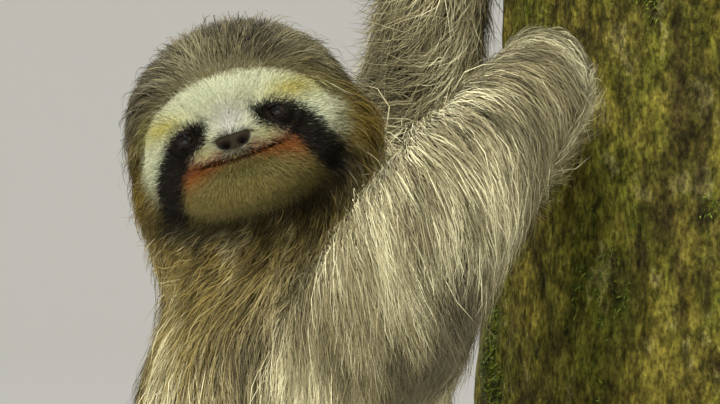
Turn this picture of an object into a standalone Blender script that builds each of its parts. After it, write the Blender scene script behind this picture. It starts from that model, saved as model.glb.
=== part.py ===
"""A life-size three-toed sloth that clings to a cut length of tree trunk on a plain display stand.

Units are metres and +Z is up. The origin is the middle of the stand's underside. The solids hold the
outline of the animal out to the tips of its coat. The body is fused whole from simple round forms,
then parted into its named pieces with thin cuts.
"""

import math

import bmesh
import bpy
from mathutils import Matrix, Vector

# Display stand
BASE_RADIUS = 0.240
BASE_THICKNESS = 0.026
BASE_EDGE = 0.004
BASE_SIDES = 40
ROD_RADIUS = 0.012
ROD_SPREAD = 0.085
ROD_SIDES = 20

# Cut length of tree trunk that the animal holds
TREE_MIDDLE = Vector((0.076, 0.068, 0.700))
TREE_LEAN = math.radians(3)
TREE_FOOT = 0.078
TREE_TOP = 0.960
TREE_RADIUS_FOOT = 0.108
TREE_RADIUS_TOP = 0.090
TREE_SIDES = 26
TREE_RINGS = 8

# The way the animal's belly faces, seen from above
BELLY_HEADING = math.radians(28)

# Head
HEAD_CENTRE = Vector((-0.1242, -0.0492, 0.7303))
HEAD_YAW = math.radians(-4)
HEAD_PITCH = math.radians(-10)
HEAD_ROLL = math.radians(-18)
EYE_RADIUS = 0.0048
EYE_SIDE = 0.0199
EYE_FORWARD = 0.0398
EYE_HEIGHT = -0.0042

# Clearances: across a cut through the body, round a seated piece, and at each end of a rod
CUT = 0.0005
SEAT = 0.0004
ROD_GAP = 0.0003

# Resolution of the fused forms
BODY_VOXEL = 0.006
HEAD_VOXEL = 0.003
BODY_TRIANGLES = 1900
HEAD_TRIANGLES = 850
FORM_SEGMENTS = 28
FORM_RINGS = 18
EYE_SEGMENTS = 12
EYE_RINGS = 8
SHARP_EDGE = math.radians(40)

LEFT, RIGHT = 1, -1


# ---------------------------------------------------------------- scene and materials


def clear_scene():
    for old in list(bpy.data.objects):
        bpy.data.objects.remove(old)


def new_collection(name):
    made = bpy.data.collections.new(name)
    bpy.context.scene.collection.children.link(made)
    return made


def new_material(name, colour, roughness, metallic=0.0):
    made = bpy.data.materials.new(name)
    made.use_nodes = True
    shader = made.node_tree.nodes["Principled BSDF"]
    shader.inputs["Base Color"].default_value = (*colour, 1.0)
    shader.inputs["Roughness"].default_value = roughness
    shader.inputs["Metallic"].default_value = metallic
    return made


def link_mesh(name, mesh, collection, material=None):
    made = bpy.data.objects.new(name, mesh)
    collection.objects.link(made)
    if material:
        mesh.materials.clear()
        mesh.materials.append(material)
    return made


def mesh_from(shape, name):
    """Turns a bmesh into a smooth-shaded mesh."""
    mesh = bpy.data.meshes.new(name)
    shape.to_mesh(mesh)
    shape.free()
    mesh.shade_smooth()
    return mesh


def applied(obj):
    """The object's mesh with its modifiers and place worked in."""
    bpy.context.view_layer.update()
    graph = bpy.context.evaluated_depsgraph_get()
    mesh = bpy.data.meshes.new_from_object(obj.evaluated_get(graph))
    mesh.transform(obj.matrix_world)
    return mesh


# ---------------------------------------------------------------- the animal's own frame


def tree_axis(height):
    """The middle of the leaning tree at a height."""
    rise = height - TREE_MIDDLE.z
    return TREE_MIDDLE + Vector((rise * math.tan(TREE_LEAN), 0.0, rise))


def point(out, side, height):
    """A place by its distance out from the tree's axis, to the animal's left, and its height."""
    forward = Vector((math.cos(BELLY_HEADING), math.sin(BELLY_HEADING), 0.0))
    left = Vector((-forward.y, forward.x, 0.0))
    return tree_axis(height) - forward * out + left * side


def head_matrix():
    """The head faces -Y in its own frame, is turned and nods there, then leans over to one side."""
    lean = Matrix.Rotation(HEAD_ROLL, 4, "Y")
    nod = Matrix.Rotation(HEAD_PITCH, 4, "X")
    turn = Matrix.Rotation(HEAD_YAW, 4, "Z")
    return Matrix.Translation(HEAD_CENTRE) @ lean @ turn @ nod


# ---------------------------------------------------------------- round forms


def add_ellipsoid(shape, centre, radii, frame=Matrix.Identity(4)):
    """Adds an ellipsoid to a bmesh. Centre and radii are in the given frame."""
    place = frame @ Matrix.Translation(centre) @ Matrix.Diagonal((*radii, 1.0))
    bmesh.ops.create_uvsphere(
        shape, u_segments=FORM_SEGMENTS, v_segments=FORM_RINGS, radius=1.0, matrix=place
    )


def smooth_run(stations, spans):
    """Catmull-Rom points through (x, y, z, radius) stations."""
    run = [Vector((*place, radius)) for place, radius in stations]
    run = [2 * run[0] - run[1], *run, 2 * run[-1] - run[-2]]
    made = []
    for before, start, end, after in zip(run, run[1:], run[2:], run[3:]):
        for step in range(spans):
            t = step / spans
            bend = 2 * start + (end - before) * t
            bend += (2 * before - 5 * start + 4 * end - after) * t**2
            bend += (3 * start - before - 3 * end + after) * t**3
            made.append(bend / 2)
    return [*made, run[-2]]


def tube(name, stations, spans=5, resolution=4):
    """A curve object that swells and tapers through (place, radius) stations."""
    curve = bpy.data.curves.new(name, "CURVE")
    curve.dimensions = "3D"
    curve.bevel_depth = 1.0
    curve.bevel_resolution = resolution
    curve.use_fill_caps = True
    run = smooth_run(stations, spans)
    spline = curve.splines.new("POLY")
    spline.points.add(len(run) - 1)
    for knot, (x, y, z, radius) in zip(spline.points, run):
        knot.co = (x, y, z, 1.0)
        knot.radius = radius
    made = bpy.data.objects.new(name, curve)
    bpy.context.scene.collection.objects.link(made)
    return made


def add_tube(shape, stations):
    """Adds a limb with round ends to a bmesh."""
    source = tube("limb", stations)
    mesh = applied(source)
    bpy.data.objects.remove(source)
    shape.from_mesh(mesh)
    for place, radius in (stations[0], stations[-1]):
        add_ellipsoid(shape, place, (radius,) * 3)


def fused(shape, name, voxel, triangles, smoothing, collection):
    """Makes overlapping forms one closed smooth mesh of about that many triangles."""
    made = link_mesh(name, mesh_from(shape, name), collection)
    remesh = made.modifiers.new("fuse", "REMESH")
    remesh.mode = "VOXEL"
    remesh.voxel_size = voxel
    soften = made.modifiers.new("soften", "SMOOTH")
    soften.iterations = smoothing
    soften.factor = 0.5
    made.data = applied(made)
    made.modifiers.clear()
    made.data.calc_loop_triangles()
    thin = made.modifiers.new("thin_out", "DECIMATE")
    thin.ratio = triangles / len(made.data.loop_triangles)
    made.data = applied(made)
    made.modifiers.clear()
    return made


def cutter(name, mesh, collection):
    """An object that only cuts."""
    made = link_mesh(name, mesh, collection)
    made.hide_render = True
    made.display_type = "WIRE"
    return made


def carve(obj, by, operation="DIFFERENCE"):
    """Cuts one mesh from another, or keeps only what they share, and works the cut in."""
    cut = obj.modifiers.new("cut_" + by.name, "BOOLEAN")
    cut.operation = operation
    cut.solver = "MANIFOLD"
    cut.object = by
    obj.data = applied(obj)
    obj.modifiers.clear()


def keep_largest(obj):
    """Drops the crumbs that a cut leaves beside the main body."""
    shape = bmesh.new()
    shape.from_mesh(obj.data)
    unseen = set(shape.faces)
    islands = []
    while unseen:
        island = []
        front = [unseen.pop()]
        while front:
            face = front.pop()
            island.append(face)
            for edge in face.edges:
                for other in edge.link_faces:
                    if other in unseen:
                        unseen.remove(other)
                        front.append(other)
        islands.append(island)
    islands.sort(key=lambda island: sum(face.calc_area() for face in island))
    crumbs = [face for island in islands[:-1] for face in island]
    bmesh.ops.delete(shape, geom=crumbs, context="FACES")
    shape.to_mesh(obj.data)
    shape.free()


def swollen(obj, by, collection):
    """A cutter of the object's own shape, grown outwards a little."""
    grown = cutter(obj.name + "_clearance", obj.data.copy(), collection)
    push = grown.modifiers.new("grow", "DISPLACE")
    push.strength = by
    push.mid_level = 0.0
    grown.data = applied(grown)
    grown.modifiers.clear()
    return grown


# ---------------------------------------------------------------- stand and tree


def make_base(parts, material):
    shape = bmesh.new()
    bmesh.ops.create_cone(
        shape,
        cap_ends=True,
        segments=BASE_SIDES,
        radius1=BASE_RADIUS,
        radius2=BASE_RADIUS,
        depth=BASE_THICKNESS,
        matrix=Matrix.Translation((0, 0, BASE_THICKNESS / 2)),
    )
    rim = [e for e in shape.edges if all(v.co.z > BASE_THICKNESS * 0.9 for v in e.verts)]
    rim = [e for e in rim if e.calc_face_angle(0) > 1]
    bmesh.ops.bevel(shape, geom=rim, offset=BASE_EDGE, segments=2, profile=0.5, affect="EDGES")
    made = link_mesh("stand_base", mesh_from(shape, "stand_base"), parts, material)
    made.data.set_sharp_from_angle(angle=SHARP_EDGE)


def make_rods(parts, material):
    length = TREE_FOOT - BASE_THICKNESS - 2 * ROD_GAP
    middle = (TREE_FOOT + BASE_THICKNESS) / 2
    for number, way in enumerate((-1, 1), start=1):
        name = f"stand_rod_{number}"
        shape = bmesh.new()
        place = tree_axis(middle) + Vector((0, way * ROD_SPREAD / 2, 0))
        bmesh.ops.create_cone(
            shape,
            cap_ends=True,
            segments=ROD_SIDES,
            radius1=ROD_RADIUS,
            radius2=ROD_RADIUS,
            depth=length,
            matrix=Matrix.Translation(place),
        )
        made = link_mesh(name, mesh_from(shape, name), parts, material)
        made.data.set_sharp_from_angle(angle=SHARP_EDGE)


def tree_radius(angle, height):
    """The tree's radius, tapered upwards, with the shallow flutes of a living trunk."""
    rise = (height - TREE_FOOT) / (TREE_TOP - TREE_FOOT)
    radius = TREE_RADIUS_FOOT + (TREE_RADIUS_TOP - TREE_RADIUS_FOOT) * rise
    flutes = 0.022 * math.sin(3 * angle + 2.2 * rise) + 0.012 * math.sin(5 * angle - 3.1 * rise + 1.0)
    return radius * (1 + flutes)


def bark_point(angle, height, above=0.0):
    """A place on the bark or above it, by its angle round the tree and its height."""
    radius = tree_radius(angle, height) + above
    return tree_axis(height) + Vector((radius * math.cos(angle), radius * math.sin(angle), 0.0))


def make_tree(parts, material):
    shape = bmesh.new()
    length = TREE_TOP - TREE_FOOT
    bmesh.ops.create_cone(
        shape, cap_ends=True, segments=TREE_SIDES, radius1=1.0, radius2=1.0, depth=length
    )
    sides = [e for e in shape.edges if abs(e.verts[0].co.z - e.verts[1].co.z) > length / 2]
    bmesh.ops.subdivide_edges(shape, edges=sides, cuts=TREE_RINGS - 1)
    for v in shape.verts:
        v.co = bark_point(math.atan2(v.co.y, v.co.x), v.co.z + (TREE_TOP + TREE_FOOT) / 2)
    bmesh.ops.triangulate(shape, faces=shape.faces[:])
    made = link_mesh("perch_trunk", mesh_from(shape, "perch_trunk"), parts, material)
    made.data.set_sharp_from_angle(angle=SHARP_EDGE)
    return made


# ---------------------------------------------------------------- limbs

SHOULDER = {RIGHT: point(0.208, -0.052, 0.618), LEFT: point(0.196, 0.056, 0.628)}
ELBOW = {RIGHT: point(0.214, -0.153, 0.704), LEFT: point(0.110, 0.069, 0.735)}
WRIST = {RIGHT: point(0.128, -0.077, 0.756), LEFT: point(0.101, 0.052, 0.858)}
KNUCKLES = {RIGHT: point(0.106, -0.033, 0.752), LEFT: point(0.093, 0.060, 0.893)}
HIP = {RIGHT: point(0.178, -0.052, 0.352), LEFT: point(0.178, 0.052, 0.358)}
KNEE = {RIGHT: point(0.128, -0.138, 0.392), LEFT: point(0.128, 0.138, 0.412)}
ANKLE = {RIGHT: point(0.072, -0.100, 0.305), LEFT: point(0.072, 0.100, 0.330)}
TOES = {RIGHT: point(0.046, -0.110, 0.278), LEFT: point(0.046, 0.110, 0.302)}

UPPER_ARM_RADIUS = 0.0365
ELBOW_RADIUS = 0.0302
FOREARM_RADIUS = 0.0270
WRIST_RADIUS = 0.0212
KNUCKLE_RADIUS = 0.0152
THIGH_RADIUS = 0.046
KNEE_RADIUS = 0.034
ANKLE_RADIUS = 0.021
TOE_RADIUS = 0.0150
FRINGE_DROP = 0.018

TAIL_ROOT = point(0.218, 0.0, 0.318)
TAIL_TIP = point(0.268, 0.0, 0.284)
TAIL_RADIUS = 0.019

# The spine from rump to shoulders: height, distance out from the tree's axis, half depth, half width
SPINE = (
    (0.305, 0.172, 0.058, 0.064),
    (0.355, 0.178, 0.076, 0.084),
    (0.420, 0.184, 0.084, 0.092),
    (0.490, 0.187, 0.081, 0.089),
    (0.560, 0.193, 0.075, 0.084),
    (0.612, 0.199, 0.067, 0.077),
    (0.645, 0.199, 0.056, 0.064),
)
SPINE_STEPS = 3
SPINE_SLICE = 0.052
NECK = (
    (point(0.192, 0.002, 0.630), 0.0500),
    (point(0.193, 0.002, 0.662), 0.0420),
    (point(0.214, 0.003, 0.694), 0.0545),
    (point(0.221, 0.003, 0.722), 0.0490),
)
NECK_REACH = 0.079


def between(start, end, share):
    return start + (end - start) * share


def add_spine(shape):
    """Oval sections, in steps close enough to blend into one form."""
    frame = Matrix.Rotation(BELLY_HEADING, 4, "Z")
    for low, high in zip(SPINE, SPINE[1:]):
        for step in range(SPINE_STEPS + 1):
            share = step / SPINE_STEPS
            height, out, depth, width = (between(a, b, share) for a, b in zip(low, high))
            place = frame.inverted() @ point(out, 0.0, height)
            add_ellipsoid(shape, place, (depth, width, SPINE_SLICE), frame)


def add_arm(shape, side):
    elbow, wrist = ELBOW[side], WRIST[side]
    middle = between(elbow, wrist, 0.45)
    add_tube(
        shape,
        (
            (SHOULDER[side], UPPER_ARM_RADIUS + 0.003),
            (between(SHOULDER[side], elbow, 0.5), UPPER_ARM_RADIUS),
            (elbow, ELBOW_RADIUS),
            (middle, FOREARM_RADIUS),
            (wrist, WRIST_RADIUS),
            (KNUCKLES[side], KNUCKLE_RADIUS),
        ),
    )
    if side == RIGHT:
        # Long hair hangs in a fringe under the raised arm.
        drop = Vector((0.0, 0.0, -FRINGE_DROP))
        add_tube(
            shape,
            (
                (between(SHOULDER[side], elbow, 0.45) + drop, UPPER_ARM_RADIUS * 0.75),
                (elbow + drop * 1.1, ELBOW_RADIUS * 0.78),
                (middle + drop * 0.6, FOREARM_RADIUS * 0.68),
                (between(middle, wrist, 0.55) + drop * 0.2, FOREARM_RADIUS * 0.55),
            ),
        )


def add_leg(shape, side):
    add_tube(
        shape,
        (
            (HIP[side], THIGH_RADIUS + 0.006),
            (between(HIP[side], KNEE[side], 0.5), THIGH_RADIUS),
            (KNEE[side], KNEE_RADIUS),
            (between(KNEE[side], ANKLE[side], 0.5), (KNEE_RADIUS + ANKLE_RADIUS) / 2),
            (ANKLE[side], ANKLE_RADIUS),
            (TOES[side], TOE_RADIUS),
        ),
    )


def make_body(collection):
    shape = bmesh.new()
    add_spine(shape)
    add_tube(shape, NECK)
    add_tube(shape, ((TAIL_ROOT, TAIL_RADIUS * 1.1), (TAIL_TIP, TAIL_RADIUS * 0.8)))
    for side in (RIGHT, LEFT):
        add_arm(shape, side)
        add_leg(shape, side)
    return fused(shape, "body", BODY_VOXEL, BODY_TRIANGLES, 8, collection)


# ---------------------------------------------------------------- head and eyes


# The middle and radii of each round form of the head, in the head's own frame
HEAD_FORMS = {
    "crown": ((-0.0008, 0.007, 0.002), (0.0502, 0.0520, 0.0472)),
    "cheeks": ((0.0015, 0.002, -0.014), (0.0562, 0.0450, 0.0385)),
    "brow": ((0.000, -0.013, 0.007), (0.0450, 0.0340, 0.0310)),
    "muzzle": ((0.000, -0.038, -0.015), (0.0175, 0.0170, 0.0115)),
    "bridge": ((0.000, -0.034, -0.007), (0.0120, 0.0150, 0.0110)),
    "chin": ((0.000, -0.023, -0.026), (0.0310, 0.0270, 0.0175)),
}


def make_head(collection):
    """A broad domed head with full cheeks, a flat face and a short round muzzle."""
    shape = bmesh.new()
    for centre, radii in HEAD_FORMS.values():
        add_ellipsoid(shape, Vector(centre), radii, head_matrix())
    return fused(shape, "head", HEAD_VOXEL, HEAD_TRIANGLES, 5, collection)


def add_ball(shape, centre, radius):
    bmesh.ops.create_uvsphere(
        shape,
        u_segments=EYE_SEGMENTS,
        v_segments=EYE_RINGS,
        radius=radius,
        matrix=Matrix.Translation(centre),
    )


def eye_centre(side):
    """The animal's left eye is at +x in the head's own frame, which faces -y."""
    return head_matrix() @ Vector((side * EYE_SIDE, -EYE_FORWARD, EYE_HEIGHT))


def make_eyes(parts, cutters, material):
    seats = bmesh.new()
    for side, name in ((RIGHT, "eye_right"), (LEFT, "eye_left")):
        shape = bmesh.new()
        add_ball(shape, eye_centre(side), EYE_RADIUS)
        link_mesh(name, mesh_from(shape, name), parts, material)
        add_ball(seats, eye_centre(side), EYE_RADIUS + SEAT)
    return cutter("eye_seats", mesh_from(seats, "eye_seats"), cutters)


# ---------------------------------------------------------------- claws

HAND_CLAW = 0.058
FOOT_CLAW = 0.048
CLAW_RADIUS = 0.0038
CLAW_TIP_RADIUS = 0.0010
CLAW_SPACING = 0.0098
CLAW_STEPS = 7
CLAW_ROOT_LIFT = 0.0115
CLAW_ARCH = 0.0075

# The root of each hand's and foot's claws, and their heading: its share round the tree and upwards
GRIPS = (
    ("hand_right", KNUCKLES[RIGHT], (-0.75, -0.66), HAND_CLAW),
    ("hand_left", KNUCKLES[LEFT], (-0.97, 0.24), HAND_CLAW),
    ("foot_right", TOES[RIGHT], (0.94, -0.34), FOOT_CLAW),
    ("foot_left", TOES[LEFT], (-0.94, -0.34), FOOT_CLAW),
)


def claw_stations(root, heading, length, extra=0.0):
    """Places and radii along a claw that arches over the bark until its tip meets it."""
    offset = root - tree_axis(root.z)
    reach = math.hypot(offset.x, offset.y)
    angle = math.atan2(offset.y, offset.x)
    round_way, up_way = heading
    stations = []
    for step in range(CLAW_STEPS + 1):
        share = step / CLAW_STEPS
        thick = CLAW_RADIUS + (CLAW_TIP_RADIUS - CLAW_RADIUS) * share**1.4
        lift = CLAW_ROOT_LIFT * (1 - share**1.6) + CLAW_ARCH * math.sin(math.pi * share)
        lift += thick + CUT
        along = length * share - (extra if step == 0 else 0.0)
        spot = bark_point(angle + round_way * along / reach, root.z + up_way * along, lift)
        stations.append((spot, thick + extra))
    return stations


def claw_mesh(name, stations):
    source = tube(name, stations, spans=1, resolution=1)
    mesh = applied(source)
    bpy.data.objects.remove(source)
    shape = bmesh.new()
    shape.from_mesh(mesh)
    bmesh.ops.remove_doubles(shape, verts=shape.verts[:], dist=1e-5)
    bmesh.ops.recalc_face_normals(shape, faces=shape.faces[:])
    return mesh_from(shape, name)


def make_claws(parts, cutters, material):
    """Three curved claws on each hand and foot. Returns the cutters that seat them."""
    seats = []
    for limb, knuckles, heading, length in GRIPS:
        round_way, up_way = heading
        offset = knuckles - tree_axis(knuckles.z)
        tangent = Vector((-offset.y, offset.x, 0.0)).normalized()
        across = Vector((0, 0, 1)) * round_way - tangent * up_way
        for number in (1, 2, 3):
            root = knuckles + across * CLAW_SPACING * (number - 2)
            name = f"claw_{limb}_{number}"
            mesh = claw_mesh(name, claw_stations(root, heading, length))
            link_mesh(name, mesh, parts, material)
            seat = claw_mesh(name + "_seat", claw_stations(root, heading, length, SEAT))
            seats.append(cutter(name + "_seat", seat, cutters))
    return seats


# ---------------------------------------------------------------- parting the body

HAND_REACH = 0.034
FOREARM_REACH = 0.054
UPPER_ARM_REACH = 0.062
FOOT_REACH = 0.034
SHANK_REACH = 0.046
THIGH_REACH = 0.062
TAIL_REACH = 0.034
ARM_CUT = 0.38
LEG_CUT = 0.50
TAIL_CUT = 0.50
CUTTER_SIDES = 12
CUTTER_RINGS = 8


def capsule(name, start, end, reach, collection):
    """A round-ended cutter about a limb: a ball whose two halves are drawn apart."""
    shape = bmesh.new()
    bmesh.ops.create_uvsphere(shape, u_segments=CUTTER_SIDES, v_segments=CUTTER_RINGS, radius=reach)
    turn = Vector((0, 0, 1)).rotation_difference(end - start)
    for v in shape.verts:
        v.co = (end if v.co.z > reach / 100 else start) + turn @ v.co
    return cutter(name, mesh_from(shape, name), collection)


def part_off(body, name, start, end, reach, parts, cutters, material):
    """Takes the piece of the body within reach of a middle line, with a thin gap to the rest."""
    piece = link_mesh(name, body.data.copy(), parts, material)
    carve(piece, capsule(name + "_region", start, end, reach, cutters), "INTERSECT")
    keep_largest(piece)
    piece.data.shade_smooth()
    carve(body, capsule(name + "_gap", start, end, reach + CUT, cutters))


def limb_region(name, start, end, reach):
    """A region whose round end starts at the joint and that runs on past the limb's far end."""
    way = (end - start).normalized()
    return name, start + way * reach * 0.9, end + way * reach * 0.5, reach


def regions():
    """The name, middle line and reach of each piece, from the ends of the limbs inwards."""
    made = [("neck", HEAD_CENTRE, HEAD_CENTRE + Vector((0, 0, CUT)), NECK_REACH)]
    for side, word in ((RIGHT, "right"), (LEFT, "left")):
        arm_start = between(SHOULDER[side], ELBOW[side], ARM_CUT)
        leg_start = between(HIP[side], KNEE[side], LEG_CUT)
        made += [
            limb_region("hand_" + word, WRIST[side], KNUCKLES[side], HAND_REACH),
            limb_region("forearm_" + word, ELBOW[side], WRIST[side], FOREARM_REACH),
            limb_region("upper_arm_" + word, arm_start, ELBOW[side], UPPER_ARM_REACH),
            limb_region("foot_" + word, ANKLE[side], TOES[side], FOOT_REACH),
            limb_region("shank_" + word, KNEE[side], ANKLE[side], SHANK_REACH),
            limb_region("thigh_" + word, leg_start, KNEE[side], THIGH_REACH),
        ]
    tail_start = between(TAIL_ROOT, TAIL_TIP, TAIL_CUT)
    return [*made, limb_region("tail", tail_start, TAIL_TIP, TAIL_REACH)]


def part_body(body, parts, cutters, material):
    """Parts off each named piece. What is left is the torso."""
    for name, start, end, reach in regions():
        part_off(body, name, start, end, reach, parts, cutters, material)
    keep_largest(body)
    body.name = "torso"
    body.data.name = "torso"
    body.data.shade_smooth()
    body.data.materials.clear()
    body.data.materials.append(material)


def main():
    clear_scene()
    parts = new_collection("three_toed_sloth")
    cutters = new_collection("cutters")
    fur = new_material("fur", (0.36, 0.29, 0.19), 0.9)
    eye = new_material("eye", (0.03, 0.02, 0.015), 0.15)
    claw = new_material("claw", (0.42, 0.35, 0.24), 0.5)
    bark = new_material("bark", (0.24, 0.20, 0.11), 0.95)
    stand = new_material("stand_wood", (0.10, 0.07, 0.05), 0.45)
    steel = new_material("stand_steel", (0.55, 0.55, 0.55), 0.35, 1.0)

    make_base(parts, stand)
    make_rods(parts, steel)
    tree = make_tree(parts, bark)
    tree_seat = swollen(tree, SEAT, cutters)

    head = make_head(parts)
    head_seat = swollen(head, SEAT, cutters)
    carve(head, make_eyes(parts, cutters, eye))
    head.data.materials.clear()
    head.data.materials.append(fur)

    body = make_body(parts)
    carve(body, tree_seat)
    carve(body, head_seat)
    for seat in make_claws(parts, cutters, claw):
        carve(body, seat)
    part_body(body, parts, cutters, fur)


main()
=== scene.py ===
# %% [markdown]
# # A three-toed sloth holding a cut tree trunk
# The model is life-size, of the kind a museum shows. A real sloth is a small body inside a deep, coarse
# coat, so most of the work is hair: a skin of its own shape, then many thousands of thin tufts over it.
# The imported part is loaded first, because every place below is measured from it.

# %% Load the frame
import math

import bmesh
import bpy
import numpy as np
from mathutils import Matrix, Vector, noise
from mathutils.bvhtree import BVHTree
from mathutils.kdtree import KDTree


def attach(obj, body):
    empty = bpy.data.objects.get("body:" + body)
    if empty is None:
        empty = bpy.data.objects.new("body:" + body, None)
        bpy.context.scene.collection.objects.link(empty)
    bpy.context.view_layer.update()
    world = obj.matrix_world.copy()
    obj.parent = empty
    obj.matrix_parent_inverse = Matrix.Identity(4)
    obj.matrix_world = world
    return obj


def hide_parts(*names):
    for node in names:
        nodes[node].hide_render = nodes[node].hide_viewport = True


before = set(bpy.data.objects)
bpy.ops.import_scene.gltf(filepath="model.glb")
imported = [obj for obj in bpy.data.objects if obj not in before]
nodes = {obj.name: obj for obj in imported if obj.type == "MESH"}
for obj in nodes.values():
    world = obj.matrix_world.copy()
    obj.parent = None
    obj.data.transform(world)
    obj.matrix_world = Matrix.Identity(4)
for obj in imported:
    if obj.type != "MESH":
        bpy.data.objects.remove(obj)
NOISE_SEED = 5
# Blender's vector noise starts from the clock unless it is given a seed.
noise.seed_set(NOISE_SEED)
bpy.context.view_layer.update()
MM = 0.001
LEFT, RIGHT = 1, -1

# %% [markdown]
# ## Camera, floor and light
# The camera stands level with the animal's chin, a little to its side, with a long lens, so that the head
# and the near arm fill the frame. The stage is one plain pale floor that sweeps up into a round wall, made
# by spinning its profile. Four large soft lamps and a pale sky give soft shadows, as in a studio.

# %% Camera
CAMERA_PLACE = (-0.0756, -1.650, 0.701)
CAMERA_LENS = 192

camera = bpy.data.objects.new("camera", bpy.data.cameras.new("camera"))
bpy.context.scene.collection.objects.link(camera)
camera.location = CAMERA_PLACE
camera.rotation_euler = (math.pi / 2, 0, 0)
camera.data.lens = CAMERA_LENS
camera.data.clip_start = 0.05
camera.data.clip_end = 80
bpy.context.scene.camera = camera
bpy.context.scene.view_settings.view_transform = "Standard"
print("camera", camera.data.lens, "mm")


# %% Objects, meshes and materials by name
def link(name, mesh, *materials):
    """A new object at the origin for a mesh, with its materials."""
    made = bpy.data.objects.new(name, mesh)
    bpy.context.scene.collection.objects.link(made)
    for material in materials:
        mesh.materials.append(material)
    return made


def mesh_of(shape, name):
    """Turns a bmesh into a smooth-shaded mesh."""
    mesh = bpy.data.meshes.new(name)
    shape.to_mesh(mesh)
    shape.free()
    mesh.shade_smooth()
    return mesh


def work_in(obj):
    """Replaces an object's mesh by the result of its modifiers."""
    graph = bpy.context.evaluated_depsgraph_get()
    mesh = bpy.data.meshes.new_from_object(obj.evaluated_get(graph))
    obj.modifiers.clear()
    obj.data = mesh
    return obj


def new_material(name, roughness=0.5, metallic=0.0):
    """A material, its node tree and its Principled shader."""
    material = bpy.data.materials.new(name)
    material.use_nodes = True
    shader = material.node_tree.nodes["Principled BSDF"]
    shader.inputs["Roughness"].default_value = roughness
    shader.inputs["Metallic"].default_value = metallic
    return material, material.node_tree, shader


def srgb(red, green, blue):
    """A colour as an eye reads it on a screen, 0 to 255, as linear light."""
    channels = [value / 255 for value in (red, green, blue)]
    return tuple(c / 12.92 if c <= 0.04045 else ((c + 0.055) / 1.055) ** 2.4 for c in channels)


# %% Floor, wall and lamps
FLOOR_RADIUS = 16.0
WALL_CURVE = 4.0
WALL_HEIGHT = 6.0
CURVE_STEPS = 12
SWEEP_STEPS = 96
PALE = srgb(240, 239, 235)

profile = bmesh.new()
knots = [Vector((0, 0, 0)), Vector((FLOOR_RADIUS, 0, 0))]
for step in range(1, CURVE_STEPS + 1):
    turn = math.pi / 2 * step / CURVE_STEPS
    knots.append(
        Vector((FLOOR_RADIUS + WALL_CURVE * math.sin(turn), 0, WALL_CURVE * (1 - math.cos(turn))))
    )
knots.append(Vector((FLOOR_RADIUS + WALL_CURVE, 0, WALL_HEIGHT)))
points = [profile.verts.new(knot) for knot in knots]
edges = [profile.edges.new(pair) for pair in zip(points, points[1:])]
bmesh.ops.spin(
    profile,
    geom=points + edges,
    cent=(0, 0, 0),
    axis=(0, 0, 1),
    angle=math.tau,
    steps=SWEEP_STEPS,
    use_merge=True,
)
bmesh.ops.remove_doubles(profile, verts=profile.verts[:], dist=MM)
bmesh.ops.recalc_face_normals(profile, faces=profile.faces[:])
floor_material, _, floor_shader = new_material("studio_floor", roughness=0.9)
floor_shader.inputs["Base Color"].default_value = (*PALE, 1)
floor = link("studio_floor", mesh_of(profile, "studio_floor"), floor_material)


def lamp(name, place, aim, size, power, colour):
    """A square soft lamp that faces a point."""
    light = bpy.data.lights.new(name, "AREA")
    light.size = size
    light.energy = power
    light.color = colour
    made = bpy.data.objects.new(name, light)
    bpy.context.scene.collection.objects.link(made)
    made.location = place
    made.rotation_euler = (Vector(aim) - Vector(place)).to_track_quat("-Z", "Y").to_euler()


CHEST = (-0.05, 0.0, 0.65)
lamp("key_light", (-0.5, -1.3, 2.5), CHEST, 0.9, 78, (1.0, 0.98, 0.93))
lamp("fill_light", (1.6, -1.3, 1.1), CHEST, 1.6, 10, (1.0, 0.99, 0.95))
lamp("low_light", (-0.3, -1.9, 0.15), CHEST, 1.2, 9, (1.0, 0.98, 0.92))
lamp("back_light", (-0.6, 1.9, 2.0), CHEST, 1.4, 30, (1.0, 1.0, 1.0))
world = bpy.data.worlds.new("studio_sky")
bpy.context.scene.world = world
world.use_nodes = True
world.node_tree.nodes["Background"].inputs["Color"].default_value = (1.0, 0.985, 0.94, 1)
world.node_tree.nodes["Background"].inputs["Strength"].default_value = 0.62
print("stage of", len(floor.data.polygons), "faces and 4 lamps")

# %% [markdown]
# ## The animal's own frame
# The part was drawn from a few places: the leaning tree's middle line, the joints of the limbs, and a
# frame for the head, which faces -Y in it. They are repeated here, because hair, markings and folds are
# all described along limbs or in the face's own measures.

# %% Places taken over from the part
TREE_MIDDLE = Vector((0.076, 0.068, 0.700))
TREE_LEAN = math.radians(3)
BELLY_HEADING = math.radians(28)
HEAD_CENTRE = Vector((-0.1242, -0.0492, 0.7303))
HEAD_YAW = math.radians(-4)
HEAD_PITCH = math.radians(-10)
HEAD_ROLL = math.radians(-18)
EYE_RADIUS = 4.8 * MM
EYE_PLACE = Vector((19.9, -39.8, -4.2)) * MM


def tree_axis(height):
    rise = height - TREE_MIDDLE.z
    return TREE_MIDDLE + Vector((rise * math.tan(TREE_LEAN), 0.0, rise))


def place(out, side, height):
    """A place by its distance out from the tree's middle line, to the animal's left, and its height."""
    forward = Vector((math.cos(BELLY_HEADING), math.sin(BELLY_HEADING), 0.0))
    left = Vector((-forward.y, forward.x, 0.0))
    return tree_axis(height) - forward * out + left * side


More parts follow.
